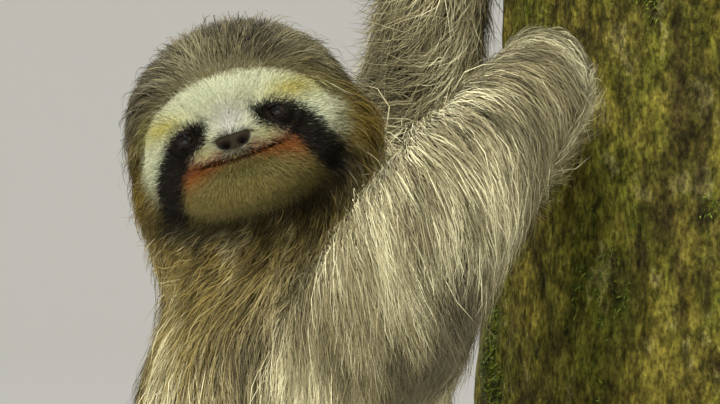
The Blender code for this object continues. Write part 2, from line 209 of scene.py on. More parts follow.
HEAD = (
    Matrix.Translation(HEAD_CENTRE)
    @ Matrix.Rotation(HEAD_ROLL, 4, "Y")
    @ Matrix.Rotation(HEAD_YAW, 4, "Z")
    @ Matrix.Rotation(HEAD_PITCH, 4, "X")
)
SHOULDER = {RIGHT: place(0.208, -0.052, 0.618), LEFT: place(0.196, 0.056, 0.628)}
ELBOW = {RIGHT: place(0.214, -0.153, 0.704), LEFT: place(0.110, 0.069, 0.735)}
WRIST = {RIGHT: place(0.128, -0.077, 0.756), LEFT: place(0.101, 0.052, 0.858)}
KNUCKLES = {RIGHT: place(0.106, -0.033, 0.752), LEFT: place(0.093, 0.060, 0.893)}
HIP = {RIGHT: place(0.178, -0.052, 0.352), LEFT: place(0.178, 0.052, 0.358)}
KNEE = {RIGHT: place(0.128, -0.138, 0.392), LEFT: place(0.128, 0.138, 0.412)}
ANKLE = {RIGHT: place(0.072, -0.100, 0.305), LEFT: place(0.072, 0.100, 0.330)}
TOES = {RIGHT: place(0.046, -0.110, 0.278), LEFT: place(0.046, 0.110, 0.302)}
NECK_LOW = place(0.197, 0.002, 0.640)
TAIL_ROOT, TAIL_TIP = place(0.218, 0.0, 0.318), place(0.268, 0.0, 0.284)


def in_head(points):
    """World places, as rows of an array, in the head's own frame and in millimetres."""
    matrix = np.array(HEAD.inverted())
    return (points @ matrix[:3, :3].T + matrix[:3, 3]) / MM


def from_head(directions):
    """Directions in the head's frame, turned to the world's."""
    return directions @ np.array(HEAD)[:3, :3].T


print("head centre", tuple(HEAD_CENTRE), "arm", round((ELBOW[RIGHT] - SHOULDER[RIGHT]).length, 3), "m")


# %% Small tools for arrays
def smooth(low, high, value):
    """0 below low, 1 above high, and an even S between them. low may be the greater."""
    t = np.clip((value - low) / (high - low), 0.0, 1.0)
    return t * t * (3 - 2 * t)


def hill(x, z, centre, radii):
    """A soft round hill, 1 at its centre."""
    return np.exp(-(((x - centre[0]) / radii[0]) ** 2) - ((z - centre[1]) / radii[1]) ** 2)


def unit(vectors):
    return vectors / np.maximum(np.linalg.norm(vectors, axis=-1, keepdims=True), 1e-9)


def flatten(vectors, normals):
    """Vectors laid down on the surface that has these normals."""
    return unit(vectors - normals * np.sum(vectors * normals, axis=-1, keepdims=True))


def coordinates(mesh):
    found = np.empty(len(mesh.vertices) * 3)
    mesh.vertices.foreach_get("co", found)
    return found.reshape(-1, 3)


def vertex_normals(mesh):
    found = np.empty(len(mesh.vertices) * 3)
    mesh.vertex_normals.foreach_get("vector", found)
    return found.reshape(-1, 3)


def set_coordinates(mesh, points):
    mesh.vertices.foreach_set("co", points.astype(np.float32).ravel())
    mesh.update()


def spread(mesh, values, rounds):
    """Values at the vertices, evened out along the edges."""
    pairs = np.empty(len(mesh.edges) * 2, int)
    mesh.edges.foreach_get("vertices", pairs)
    a, b = pairs.reshape(-1, 2).T
    count = np.bincount(pairs, minlength=len(values)) + 1.0
    for _ in range(rounds):
        total = values.copy()
        np.add.at(total, a, values[b])
        np.add.at(total, b, values[a])
        values = total / (count if values.ndim == 1 else count[:, None])
    return values


# %% [markdown]
# ## Skin
# Under the coat is one unbroken skin. The part's flesh is cut into named solids that reach out to the tips
# of the coat, so copies of them are grown by the width of a cut, fused by a voxel remesh, and drawn in by
# the coat's depth, which is millimetres on the face and hands and a centimetre and more elsewhere. The
# head is fused on its own at a finer size, because the face needs it, and joined to the body by a union
# under the long hair of the neck.

# %% How deep and how long the coat is on each part
# depth of the coat over the skin, length of a hair: both in millimetres
COAT = {
    "head": (7.5, 20.0),
    "neck": (8.0, 28.0),
    "torso": (9.0, 38.0),
    "tail": (5.0, 20.0),
    "upper_arm": (8.0, 40.0),
    "forearm": (7.0, 36.0),
    "hand": (3.5, 12.0),
    "thigh": (8.0, 36.0),
    "shank": (6.5, 28.0),
    "foot": (3.5, 11.0),
}
FLESH = sorted(name for name in nodes if name.startswith(tuple(COAT)))
CUT = 0.4 * MM
BODY_VOXEL = 4.0 * MM
HEAD_VOXEL = 1.5 * MM
WELD = 0.01 * MM
print(len(FLESH), "solids of flesh under the coat")


# %% Fuse the flesh into one even mesh
def fused(names, name, voxel, rounds):
    """Copies of flesh nodes, made one closed and even mesh."""
    shape = bmesh.new()
    for node in names:
        shape.from_mesh(nodes[node].data)
    bmesh.ops.remove_doubles(shape, verts=shape.verts[:], dist=WELD)
    made = link(name, mesh_of(shape, name))
    grow = made.modifiers.new("close_the_cuts", "DISPLACE")
    grow.strength = CUT
    grow.mid_level = 0.0
    return evened(made, voxel, rounds)


def evened(obj, voxel, rounds):
    """A voxel remesh and a light smoothing, worked in."""
    remesh = obj.modifiers.new("fuse", "REMESH")
    remesh.mode = "VOXEL"
    remesh.voxel_size = voxel
    soften = obj.modifiers.new("soften", "SMOOTH")
    soften.iterations = rounds
    soften.factor = 0.5
    return work_in(obj)


# %% Which part a place belongs to
def nearest_node(points):
    """For each place, the number in FLESH of the solid whose surface is nearest."""
    tree = KDTree(sum(len(nodes[name].data.vertices) for name in FLESH))
    owner = []
    for number, name in enumerate(FLESH):
        for vertex in nodes[name].data.vertices:
            tree.insert(vertex.co, len(owner))
            owner.append(number)
    tree.balance()
    return np.array([owner[tree.find(point)[1]] for point in points])


def coat_value(owner, which):
    """Column `which` of COAT for each node number, in metres."""
    table = [next(COAT[part] for part in COAT if name.startswith(part)) for name in FLESH]
    return np.array([row[which] for row in table])[owner] * MM


def draw_in(obj, depth):
    points = coordinates(obj.data) - vertex_normals(obj.data) * depth[:, None]
    set_coordinates(obj.data, points)


# %% Body skin
body = fused(FLESH, "skin", BODY_VOXEL, 6)
owner = nearest_node(coordinates(body.data))
draw_in(body, spread(body.data, coat_value(owner, 0), 8))
evened(body, BODY_VOXEL, 6)
print("body skin", len(body.data.polygons), "faces")

# %% [markdown]
# ## Face
# A sloth's face is nearly flat: a broad brow, eyes set wide, a short blunt muzzle with a bare nose pad,
# and a long mouth line whose ends turn up. All of it is pressed or raised from the head's skin in the
# face's own measures. The zone of the muzzle is subdivided twice first, so the lips and nostrils have
# faces small enough to hold their shape.

# %% Measures of the face, in millimetres in the head's frame
FACE_CENTRE, FACE_RADII = (0.0, -10.5), (43.0, 28.0)
EYE_X, EYE_Y, EYE_Z = EYE_PLACE / MM
MOUTH_MIDDLE, MOUTH_END, MOUTH_RISE = -19.6, 20.0, 3.3
NOSE_CENTRE, NOSE_RADII = (0.0, -12.0), (7.8, 4.6)
NOSTRIL = (3.8, -14.0)
# The eyes look a little inwards and down, and their openings are this wide and high as sines of angles.
EYE_INWARD, EYE_LOWERED = math.radians(12), math.radians(6)
OPENING = (0.66, 0.54)


def face_places(points):
    """x, y, z in the head's frame, each as an array."""
    return tuple(in_head(points).T)


def face_share(x, y, z):
    """1 on the short-haired face, 0 on the hood of long hair round it."""
    ring = np.hypot((x - FACE_CENTRE[0]) / FACE_RADII[0], (z - FACE_CENTRE[1]) / FACE_RADII[1])
    return smooth(1.12, 0.90, ring) * smooth(0.0, -10.0, y)


def mouth_distance(x, z):
    """How far a place is above the mouth line, and how much of the line there is at that x."""
    line = MOUTH_MIDDLE + MOUTH_RISE * np.abs(x / MOUTH_END) ** 1.6
    return z - line, smooth(MOUTH_END + 1.0, MOUTH_END - 3.0, np.abs(x))


def eye_distance(x, y, z):
    return np.sqrt((np.abs(x) - EYE_X) ** 2 + (y - EYE_Y) ** 2 + (z - EYE_Z) ** 2)


def eye_ring(x, y, z):
    """0 at the middle of an eye's opening and 1 at its rim, then more. Also how far from its centre."""
    ahead = np.array((-math.sin(EYE_INWARD), -math.cos(EYE_INWARD), -math.sin(EYE_LOWERED)))
    outward = np.array((math.cos(EYE_INWARD), -math.sin(EYE_INWARD), 0.0))
    up = np.cross(ahead, outward)
    away = np.stack((np.abs(x) - EYE_X, y - EYE_Y, z - EYE_Z), axis=1)
    far = np.maximum(np.linalg.norm(away, axis=1), 1e-6)
    ring = np.hypot(away @ outward / OPENING[0], away @ up / OPENING[1]) / far
    return np.where(away @ ahead > 0, ring, 3.0), far


def nose_share(x, y, z):
    """1 on the bare nose pad, which is a rounded oblong, widest at its top."""
    wide = NOSE_RADII[0] * (1 + 0.05 * (z - NOSE_CENTRE[1]))
    ring = (np.abs(x / wide) ** 2.6 + np.abs((z - NOSE_CENTRE[1]) / NOSE_RADII[1]) ** 2.6) ** (1 / 2.6)
    return smooth(1.08, 0.88, ring) * smooth(-40.0, -44.0, y)


# %% Head skin
SHORT_COAT, EYE_COAT, MUZZLE_COAT = 2.2, -0.3, 1.2
UNDER_LID, OVER_LID = EYE_RADIUS / MM - 0.5, EYE_RADIUS / MM + 0.95

head = fused(["head", "eye_left", "eye_right"], "head_skin", HEAD_VOXEL, 4)
x, y, z = face_places(coordinates(head.data))
depth = COAT["head"][0] + (SHORT_COAT - COAT["head"][0]) * face_share(x, y, z)
near_eye = smooth(13.0, 6.0, eye_distance(x, y, z))
near_muzzle = hill(x, z, (0.0, -14.0), (17.0, 9.0)) * smooth(-36.0, -44.0, y)
depth = depth + (MUZZLE_COAT - depth) * near_muzzle
depth = depth + (EYE_COAT - depth) * near_eye
draw_in(head, depth * MM)

zones = (
    lambda x, y, z: (np.abs(x) < 32) & (z > -27) & (z < 4) & (y < -27),
    lambda x, y, z: (np.abs(x) < 28) & (z > -24) & (z < -3) & (y < -32),
)
for zone in zones:
    shape = bmesh.new()
    shape.from_mesh(head.data)
    shape.verts.ensure_lookup_table()
    points = np.array([v.co for v in shape.verts])
    inside = zone(*face_places(points))
    chosen = [e for e in shape.edges if inside[e.verts[0].index] and inside[e.verts[1].index]]
    bmesh.ops.subdivide_edges(shape, edges=chosen, cuts=1, use_grid_fill=True)
    shape.verts.ensure_lookup_table()
    points = np.array([v.co for v in shape.verts])
    inside = zone(*face_places(points))
    soft = [v for v, good in zip(shape.verts, inside) if good]
    for _ in range(3):
        bmesh.ops.smooth_vert(
            shape, verts=soft, factor=0.5, use_axis_x=True, use_axis_y=True, use_axis_z=True
        )
    head.data = mesh_of(shape, "head_skin")
print("head skin", len(head.data.polygons), "faces")


# %% Press and raise the features
def features(x, y, z):
    """How far each place of the face moves outwards, in millimetres."""
    above, along = mouth_distance(x, z)
    front = smooth(-30.0, -36.0, y)
    groove = np.exp(-((above / 0.6) ** 2)) * along
    lips = (np.exp(-(((above - 1.5) / 1.0) ** 2)) + np.exp(-(((above + 1.6) / 1.2) ** 2))) * along
    fold = np.exp(-(((eye_distance(x, y, z) - 7.6) / 1.8) ** 2))
    corner = np.exp(-(((np.abs(x) - MOUTH_END) / 3.0) ** 2) - ((above + 1.0) / 3.5) ** 2)
    pad = nose_share(x, y, z)
    edge = 4 * pad * (1 - pad)
    split = np.exp(-((x / 0.5) ** 2)) * smooth(-11.0, -14.0, z) * smooth(-18.8, -17.0, z)
    nostril = hill(np.abs(x), z, NOSTRIL, (1.9, 1.5))
    wing = hill(np.abs(x), z, (NOSTRIL[0] + 1.2, NOSTRIL[1] + 1.6), (2.0, 1.4))
    crease = hill(np.abs(x), z, (10.5, -13.0), (2.2, 3.5))
    brow = hill(np.abs(x), z, (19.0, 6.5), (9.0, 3.4))
    below_eye = hill(np.abs(x), z, (21.0, -11.6), (7.0, 2.2))
    moved = 0.45 * lips - 1.9 * groove - 0.9 * corner
    moved += 0.75 * pad - 0.45 * edge - 0.5 * split - 3.8 * nostril + 0.8 * wing - 0.5 * crease
    moved += 0.9 * brow + 0.3 * below_eye
    return (moved + 1.1 * fold) * front


def over_the_eyes(local):
    """Skin lies over the lids round each eye, and dives under the eyeball inside the opening."""
    x, y, z = local.T
    ring, far = eye_ring(x, y, z)
    centre = np.stack((np.where(x < 0, -EYE_X, EYE_X), np.full(len(x), EYE_Y), np.full(len(x), EYE_Z)), 1)
    inside = smooth(1.08, 0.94, ring) * smooth(6.9, 6.0, far)
    reach = np.maximum(far, OVER_LID) * (1 - inside) + np.minimum(far, UNDER_LID) * inside
    return centre + (local - centre) * (reach / far)[:, None]


points = coordinates(head.data)
points += vertex_normals(head.data) * (features(*face_places(points)) * MM)[:, None]
local = over_the_eyes(in_head(points))
set_coordinates(head.data, np.array([HEAD @ Vector(p * MM) for p in local]))
join = body.modifiers.new("join_the_head", "BOOLEAN")
join.operation = "UNION"
join.solver = "MANIFOLD"
join.object = head
skin = work_in(body)
skin.data.name = "skin"
skin.data.materials.clear()
skin.data.shade_smooth()
bpy.data.objects.remove(head)
print("skin", len(skin.data.polygons), "faces")


# %% [markdown]
# ## Markings and painted shade
# The face is what tells the species: a pale brow, dark stripes that run back and down from the eyes, a
# rusty mouth and an olive chin, inside a dark brown hood. The body is straw over brown. The marks are
# functions of place, painted one over another as a painter would, and both the skin and each tuft ask
# the same functions for their colour, so the pattern stays whole wherever the coat parts. Some layers are
# painted shade: behind the shoulder, on one side of the crown and on the skin under the coat.

# %% Colours
CROWN = srgb(98, 91, 64)
HOOD = srgb(116, 97, 38)
CREAM = srgb(188, 192, 160)
BROW = srgb(168, 157, 66)
BRIDGE = srgb(164, 160, 158)
CHEEK = srgb(156, 152, 96)
CHIN = srgb(106, 97, 54)
OLIVE = srgb(80, 76, 38)
RING = srgb(48, 41, 19)
RUST = srgb(126, 58, 5)
STRIPE = srgb(20, 15, 8)
NOSE = srgb(32, 25, 13)
LIP = srgb(14, 10, 9)
NECK = srgb(168, 145, 72)
BODY = srgb(119, 104, 58)
ARM = srgb(140, 131, 98)
HAND = srgb(84, 79, 56)
STRAW = srgb(220, 214, 174)
# The dark of the underfur, also used as painted shade
UNDERFUR_SHADE = srgb(36, 28, 15)

# The dark stripe from the inner corner of each eye: out, up and half width, in millimetres
STRIPE_LINE = (
    (11.5, -2.0, 3.0),
    (15.2, -5.0, 5.7),
    (20.2, -6.2, 6.7),
    (24.7, -8.6, 6.8),
    (28.0, -11.8, 6.8),
    (30.8, -16.2, 6.8),
    (33.0, -21.6, 6.7),
    (35.0, -28.0, 6.0),
)


# %% Strokes, paint and a ragged edge
def stroke(x, z, line):
    """How far inside a brush stroke of changing width a place is. Below zero is outside."""
    inside = np.full(len(x), -1e3)
    for (x0, z0, w0), (x1, z1, w1) in zip(line, line[1:]):
        dx, dz = x1 - x0, z1 - z0
        t = np.clip(((x - x0) * dx + (z - z0) * dz) / (dx * dx + dz * dz), 0, 1)
        away = np.hypot(x - x0 - t * dx, z - z0 - t * dz)
        inside = np.maximum(inside, w0 + (w1 - w0) * t - away)
    return inside


def over(colours, paint, share):
    """Paints one colour over others."""
    share = np.clip(share, 0, 1)[:, None]
    return colours * (1 - share) + np.array(paint) * share


def ragged_edge(x, z):
    """A number between -1 and 1 that wavers over the face, so that no mark has a ruled edge."""
    return np.sin(0.9 * x + 2.2 * np.sin(0.45 * z)) * np.sin(1.1 * z + 2.2 * np.sin(0.5 * x + 1.0))


# %% Colours of the face
def face_colours(x, y, z):
    """Layers of paint at places in the face's own measures, from the ground colours to the lips."""
    out = np.abs(x)
    waver = ragged_edge(x, z)
    above, along = mouth_distance(x, z)
    front = smooth(-8.0, -16.0, y)
    oval = np.hypot(x / 44.0, (z + 9.5) / 25.5) + 0.055 * waver
    jaw = np.hypot(x / 35.0, (z + 27.0) / 13.5) + 0.04 * waver
    made = over(np.tile(CROWN, (len(x), 1)), HOOD, smooth(14.0, -12.0, z + 0.25 * y))
    # Painted shade: one side of the crown is darkened.
    made = over(made, UNDERFUR_SHADE, 0.45 * smooth(6.0, 28.0, -x) * smooth(0.0, 16.0, z))
    made = over(made, RING, smooth(1.55, 1.15, jaw) * smooth(-14.0, -30.0, z) * smooth(2.0, -8.0, y))
    made = over(made, CREAM, smooth(1.10, 0.92, oval) * smooth(-28.0, -20.0, z) * front)
    made = over(made, BROW, 0.9 * hill(out, z, (28.0, 3.4), (10.5, 4.3)) * front)
    made = over(made, CHEEK, 0.8 * hill(out, z, (13.5, -13.0), (6.0, 5.0)) * front)
    made = over(made, BRIDGE, 0.8 * hill(x, z, (0, -3.5), (6.5, 7.0)) * front)
    made = over(made, OLIVE, 0.45 * hill(out, z, (43.0, -14.0), (5.0, 10.0)) * front)
    made = over(made, CHIN, smooth(1.08, 0.92, jaw) * smooth(1.5, -0.5, above) * front)
    made = over(made, OLIVE, 0.6 * hill(x, z, (3.0, -25.0), (11.0, 4.5)) * front)
    made = over(made, RING, 0.75 * smooth(0.74, 1.04, jaw) * smooth(-26.0, -36.0, z) * front)
    reach = 1.5 + 5.4 * (out / 22.0) ** 2.0
    low = above + 1.0 * (out / 20.0)
    rust = np.exp(-((low / reach) ** 2)) * smooth(29.0, 24.0, out) * smooth(-6.0, 8.0, out)
    under_nose = 0.85 * hill(out, z, (8.0, -16.4), (3.4, 2.0))
    made = over(made, RUST, np.maximum(0.85 * rust, under_nose) * front)
    made = over(made, STRIPE, smooth(-1.2, 1.2, stroke(out, z, STRIPE_LINE) + 0.3 * waver) * front)
    soft_nose = 0.85 * hill(x, z, (0.0, -13.0), (9.0, 4.4)) * smooth(-7.5, -10.5, z)
    made = over(made, NOSE, np.maximum(nose_share(x, y, z) * smooth(-7.5, -10.0, z), soft_nose))
    made = over(made, NOSE, 0.8 * hill(x, z, (0.0, -17.6), (6.0, 1.8)) * front)
    made = over(made, LIP, hill(out, z, NOSTRIL, (2.2, 1.7)) * smooth(-44.0, -48.0, y))
    return over(made, LIP, 0.97 * np.exp(-((above / 0.95) ** 2)) * along * smooth(-33.0, -36.0, y))


# %% Markings and painted shade of the whole animal
def limb_share(points, start, end, reach):
    """1 along the middle line of a limb, falling to 0 past its reach. Also how far along it is."""
    line = np.array(end - start)
    t = np.clip((points - np.array(start)) @ line / (line @ line), 0, 1)
    away = np.linalg.norm(points - np.array(start) - t[:, None] * line, axis=1)
    return np.exp(-((away / reach) ** 4)), t


def head_share(points):
    """1 on the head, 0 on the neck and body."""
    x, y, z = in_head(points).T
    return smooth(1.22, 1.04, np.sqrt((x / 56) ** 2 + (y / 55) ** 2 + ((z + 1) / 47) ** 2))


def neck_share(points):
    return limb_share(points, NECK_LOW, HEAD_CENTRE, 0.054)[0]


def painted_shade_behind_shoulder(points):
    """1 in the place behind the shoulder where painted shade darkens the coat between the locks."""
    x, y, z = (points / MM).T
    return hill(x, z, (-38.0, 666.0), (19.0, 34.0)) * smooth(-40.0, -70.0, y)


def markings_and_shade(points):
    """The coat's colour at places in the world, with painted shade behind the shoulder and on one side of
    the crown.
    """
    made = np.tile(BODY, (len(points), 1))
    made = over(made, NECK, 0.85 * neck_share(points))
    for side, start, end in ((RIGHT, SHOULDER, ELBOW), (RIGHT, ELBOW, WRIST), (LEFT, ELBOW, WRIST)):
        made = over(made, ARM, 0.9 * limb_share(points, start[side], end[side], 0.050)[0])
    for side in (LEFT, RIGHT):
        hand, _ = limb_share(points, WRIST[side], KNUCKLES[side] * 1.5 - WRIST[side] * 0.5, 0.034)
        foot, _ = limb_share(points, ANKLE[side], TOES[side] * 1.5 - ANKLE[side] * 0.5, 0.032)
        made = over(made, HAND, np.maximum(hand, foot))
    # Painted shade: the coat behind the shoulder is darkened.
    made = over(made, UNDERFUR_SHADE, 0.62 * painted_shade_behind_shoulder(points))
    share = head_share(points)[:, None]
    return made * (1 - share) + face_colours(*face_places(points)) * share


# %% Paint the skin
def paint(mesh, name, colours):
    """Stores colours on a mesh's vertices under a name that a material can read."""
    layer = mesh.color_attributes.new(name, "FLOAT_COLOR", "POINT")
    full = np.ones((len(colours), 4), np.float32)
    full[:, :3] = colours
    layer.data.foreach_set("color", full.ravel())


skin_points = coordinates(skin.data)
x, y, z = face_places(skin_points)
pad = nose_share(x, y, z) * smooth(-9.4, -11.0, z)
ring, far = eye_ring(x, y, z)
bare = np.maximum(pad, smooth(1.16, 1.02, ring) * smooth(6.9, 6.0, far))
above, along = mouth_distance(x, z)
bare = np.maximum(bare, np.exp(-((above / 0.8) ** 2)) * along * smooth(-30.0, -36.0, y))
bare *= head_share(skin_points)
skin_colour = markings_and_shade(skin_points)
# Where hair grows the skin is darker: the dark underfur, and painted shade under the coat.
haired = over(skin_colour * 0.75, UNDERFUR_SHADE, 0.55 * (1 - face_share(x, y, z) * head_share(skin_points)))
skin_colour = haired * (1 - bare[:, None]) + skin_colour * bare[:, None]
paint(skin.data, "MarkingsAndShade", skin_colour)
paint(skin.data, "Bare", np.tile(bare[:, None], (1, 3)))
print("painted", len(skin_points), "points of the skin")

# %% [markdown]
# ## Materials
# Every finish here is uneven at more than one size: patches, then grain. That is one small node group,
# with a scale for each axis so that it can run with a grain, and each material uses it at its own size.


# %% A shared mottle
def mottle_group():
    """Noise on object coordinates, stretched along any axis, as a value from 0 to 1."""
    group = bpy.data.node_groups.new("mottle", "ShaderNodeTree")
    group.interface.new_socket("Scale", in_out="INPUT", socket_type="NodeSocketVector")
    group.interface.new_socket("Contrast", in_out="INPUT", socket_type="NodeSocketFloat")
    group.interface.new_socket("Value", in_out="OUTPUT", socket_type="NodeSocketFloat")
    entry = group.nodes.new("NodeGroupInput")
    leave = group.nodes.new("NodeGroupOutput")
    where = group.nodes.new("ShaderNodeTexCoord")
    scale = group.nodes.new("ShaderNodeVectorMath")
    scale.operation = "MULTIPLY"
    grain = group.nodes.new("ShaderNodeTexNoise")
    grain.inputs["Scale"].default_value = 1.0
    grain.inputs["Detail"].default_value = 5.0
    grain.inputs["Roughness"].default_value = 0.6
    centre = group.nodes.new("ShaderNodeMath")
    centre.operation = "SUBTRACT"
    centre.inputs[1].default_value = 0.5
    push = group.nodes.new("ShaderNodeMath")
    push.operation = "MULTIPLY_ADD"
    push.use_clamp = True
    push.inputs[2].default_value = 0.5
    group.links.new(where.outputs["Object"], scale.inputs[0])
    group.links.new(entry.outputs["Scale"], scale.inputs[1])
    group.links.new(scale.outputs[0], grain.inputs["Vector"])
    group.links.new(grain.outputs["Fac"], centre.inputs[0])
    group.links.new(centre.outputs[0], push.inputs[0])
    group.links.new(entry.outputs["Contrast"], push.inputs[1])
    group.links.new(push.outputs[0], leave.inputs["Value"])
    return group


MOTTLE = mottle_group()
print("mottle group with", len(MOTTLE.nodes), "nodes")


# %% Small tools for materials
def mottle(tree, scale, contrast=2.0):
    """The shared mottle in a material. Returns its output socket."""
    made = tree.nodes.new("ShaderNodeGroup")
    made.node_tree = MOTTLE
    made.inputs["Scale"].default_value = scale if isinstance(scale, tuple) else (scale,) * 3
    made.inputs["Contrast"].default_value = contrast
    return made.outputs["Value"]


def read(tree, name):
    """A colour stored on the mesh."""
    made = tree.nodes.new("ShaderNodeAttribute")
    made.attribute_name = name
    return made.outputs["Color"]


def blend(tree, share, low, high, mode="MIX"):
    """Mixes two colours, each a socket or a fixed colour, by a socket or a number."""
    made = tree.nodes.new("ShaderNodeMix")
    made.data_type = "RGBA"
    made.blend_type = mode
    for socket, value in ((made.inputs[0], share), (made.inputs[6], low), (made.inputs[7], high)):
        if isinstance(value, bpy.types.NodeSocket):
            tree.links.new(value, socket)
        elif isinstance(value, tuple):
            socket.default_value = (*value[:3], 1)
        else:
            socket.default_value = value
    return made.outputs[2]


def remap(tree, value, low, high, bottom=0.0, top=1.0):
    """A value from low..high stretched to bottom..top, and held there."""
    made = tree.nodes.new("ShaderNodeMapRange")
    made.interpolation_type = "SMOOTHSTEP"
    for socket, number in zip(made.inputs[1:5], (low, high, bottom, top)):
        socket.default_value = number
    tree.links.new(value, made.inputs[0])
    return made.outputs[0]


def bump(tree, shader, height, strength, distance):
    made = tree.nodes.new("ShaderNodeBump")
    made.inputs["Strength"].default_value = strength
    made.inputs["Distance"].default_value = distance
    tree.links.new(height, made.inputs["Height"])
    tree.links.new(made.outputs["Normal"], shader.inputs["Normal"])


def tint(value):
    """A grey as a colour."""
    return (value, value, value)


# %% Skin: matt where hair grows, leathery and a little moist where it is bare
skin_material, tree, shader = new_material("skin", roughness=0.8)
uneven = blend(tree, mottle(tree, 420.0, 1.6), tint(0.62), tint(1.25))
colour = blend(tree, 1.0, read(tree, "MarkingsAndShade"), uneven, "MULTIPLY")
tree.links.new(colour, shader.inputs["Base Color"])
bare_now = read(tree, "Bare")
tree.links.new(remap(tree, bare_now, 0.1, 0.9, 0.85, 0.6), shader.inputs["Roughness"])
shader.inputs["Specular IOR Level"].default_value = 0.09
bump(tree, shader, mottle(tree, 1500.0, 2.0), 0.45, 0.4 * MM)
skin.data.materials.append(skin_material)
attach(skin, "root")
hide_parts(*FLESH)
print("skin stands for", len(FLESH), "solids of flesh")

# %% [markdown]
# ## Eyes and lids
# A sloth's eye is a small dark glossy ball, deep brown round a black pupil. It is a real sphere with a
# hard clear surface, so a lamp makes its own highlight. Each lid is a slice of a slightly larger shell
# whose poles lie at the two corners of the eye, as the segment of an orange does, so the opening between
# the lids comes to a point at both ends.

# %% Eyes
LID_GAP = 0.35 * MM
LID_THICKNESS = 0.45 * MM
LID_UP, LID_DOWN = math.radians(21), math.radians(26)
LID_BACK = math.radians(104)
WET_INDEX = 1.376

eye_material, tree, shader = new_material("eye", roughness=0.10)
shader.inputs["IOR"].default_value = WET_INDEX
shader.inputs["Specular IOR Level"].default_value = 0.35
iris = blend(tree, read(tree, "Iris"), srgb(6, 5, 4), srgb(26, 17, 11))
streaks = blend(tree, mottle(tree, 900.0, 2.5), tint(0.6), tint(1.3))
tree.links.new(blend(tree, 1.0, iris, streaks, "MULTIPLY"), shader.inputs["Base Color"])


def eye_frame(side):
    seat = Matrix.Translation((side * EYE_PLACE.x, EYE_PLACE.y, EYE_PLACE.z))
    inward = Matrix.Rotation(-side * EYE_INWARD, 4, "Z")
    return HEAD @ seat @ inward @ Matrix.Rotation(EYE_LOWERED, 4, "X")


def turned_about(shape, matrix):
    bmesh.ops.transform(shape, matrix=matrix, verts=shape.verts[:])


for side, word in ((RIGHT, "right"), (LEFT, "left")):
    shape = bmesh.new()
    bmesh.ops.create_uvsphere(shape, u_segments=48, v_segments=32, radius=EYE_RADIUS)
    turned_about(shape, Matrix.Rotation(math.pi / 2, 4, "X"))
    local = np.array([v.co for v in shape.verts])
    turned_about(shape, eye_frame(side))
    ball = link("eyeball_" + word, mesh_of(shape, "eyeball_" + word), eye_material)
    wide = np.hypot(local[:, 0], local[:, 2]) / MM
    front = local[:, 1] < 0
    ring = np.where(front, smooth(1.7, 2.1, wide) * smooth(4.2, 3.7, wide), 0)
    paint(ball.data, "Iris", np.tile(ring[:, None], (1, 3)))
    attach(ball, "root")
    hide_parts("eye_" + word)

# %% Lids
lid_material, tree, shader = new_material("lid", roughness=0.75)
shader.inputs["Specular IOR Level"].default_value = 0.10
lid_colour = blend(tree, mottle(tree, 700.0), srgb(12, 9, 8), srgb(26, 20, 17))
tree.links.new(lid_colour, shader.inputs["Base Color"])
bump(tree, shader, mottle(tree, (500.0, 500.0, 2600.0)), 0.5, 0.3 * MM)


def lid(side, start, end):
    """A slice of shell between two angles round the line through the corners. 0 is straight ahead."""
    shape = bmesh.new()
    radius = EYE_RADIUS + LID_GAP
    arc = [
        shape.verts.new((radius * math.cos(turn), 0, radius * math.sin(turn)))
        for turn in np.linspace(-math.pi / 2, math.pi / 2, 25)
    ]
    edges = [shape.edges.new(pair) for pair in zip(arc, arc[1:])]
    bmesh.ops.rotate(shape, verts=arc, cent=(0, 0, 0), matrix=Matrix.Rotation(start, 3, "Z"))
    bmesh.ops.spin(
        shape, geom=arc + edges, cent=(0, 0, 0), axis=(0, 0, 1), angle=end - start, steps=14
    )
    bmesh.ops.remove_doubles(shape, verts=shape.verts[:], dist=WELD)
    bmesh.ops.recalc_face_normals(shape, faces=shape.faces[:])
    if sum(face.normal.dot(face.calc_center_median()) for face in shape.faces) < 0:
        bmesh.ops.reverse_faces(shape, faces=shape.faces[:])
    bmesh.ops.solidify(shape, geom=shape.faces[:], thickness=-LID_THICKNESS)
    # The spin's axis becomes the line through the corners, and its zero the way the eye looks.
    corners = Matrix.Rotation(-math.pi / 2, 4, "Z") @ Matrix.Rotation(math.pi / 2, 4, "X")
    turned_about(shape, eye_frame(side) @ corners)
    return mesh_of(shape, "lid")


for side, word in ((RIGHT, "right"), (LEFT, "left")):
    for name, start, end in (
        ("upper", LID_UP, LID_BACK),
        ("lower", -LID_BACK, -LID_DOWN),
    ):
        made = link(f"lid_{name}_{word}", lid(side, start, end), lid_material)
        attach(made, "root")
print("two eyes with two lids each")

# %% [markdown]
# ## Coat
# The hair is the animal's outline. Each tuft starts at a root on the skin and is led over it in a few
# steps: forward along the lie of the coat, and back to its own height over the skin below, so it bends
# round limbs as combed hair does. Roots are spread evenly by taking one from each cell of the skin's own
# unwrap, and that place in the unwrap is also the tuft's patch on the OFBake map.

# %% The lie of the coat
DOWN = np.array((0.0, 0.0, -1.0))
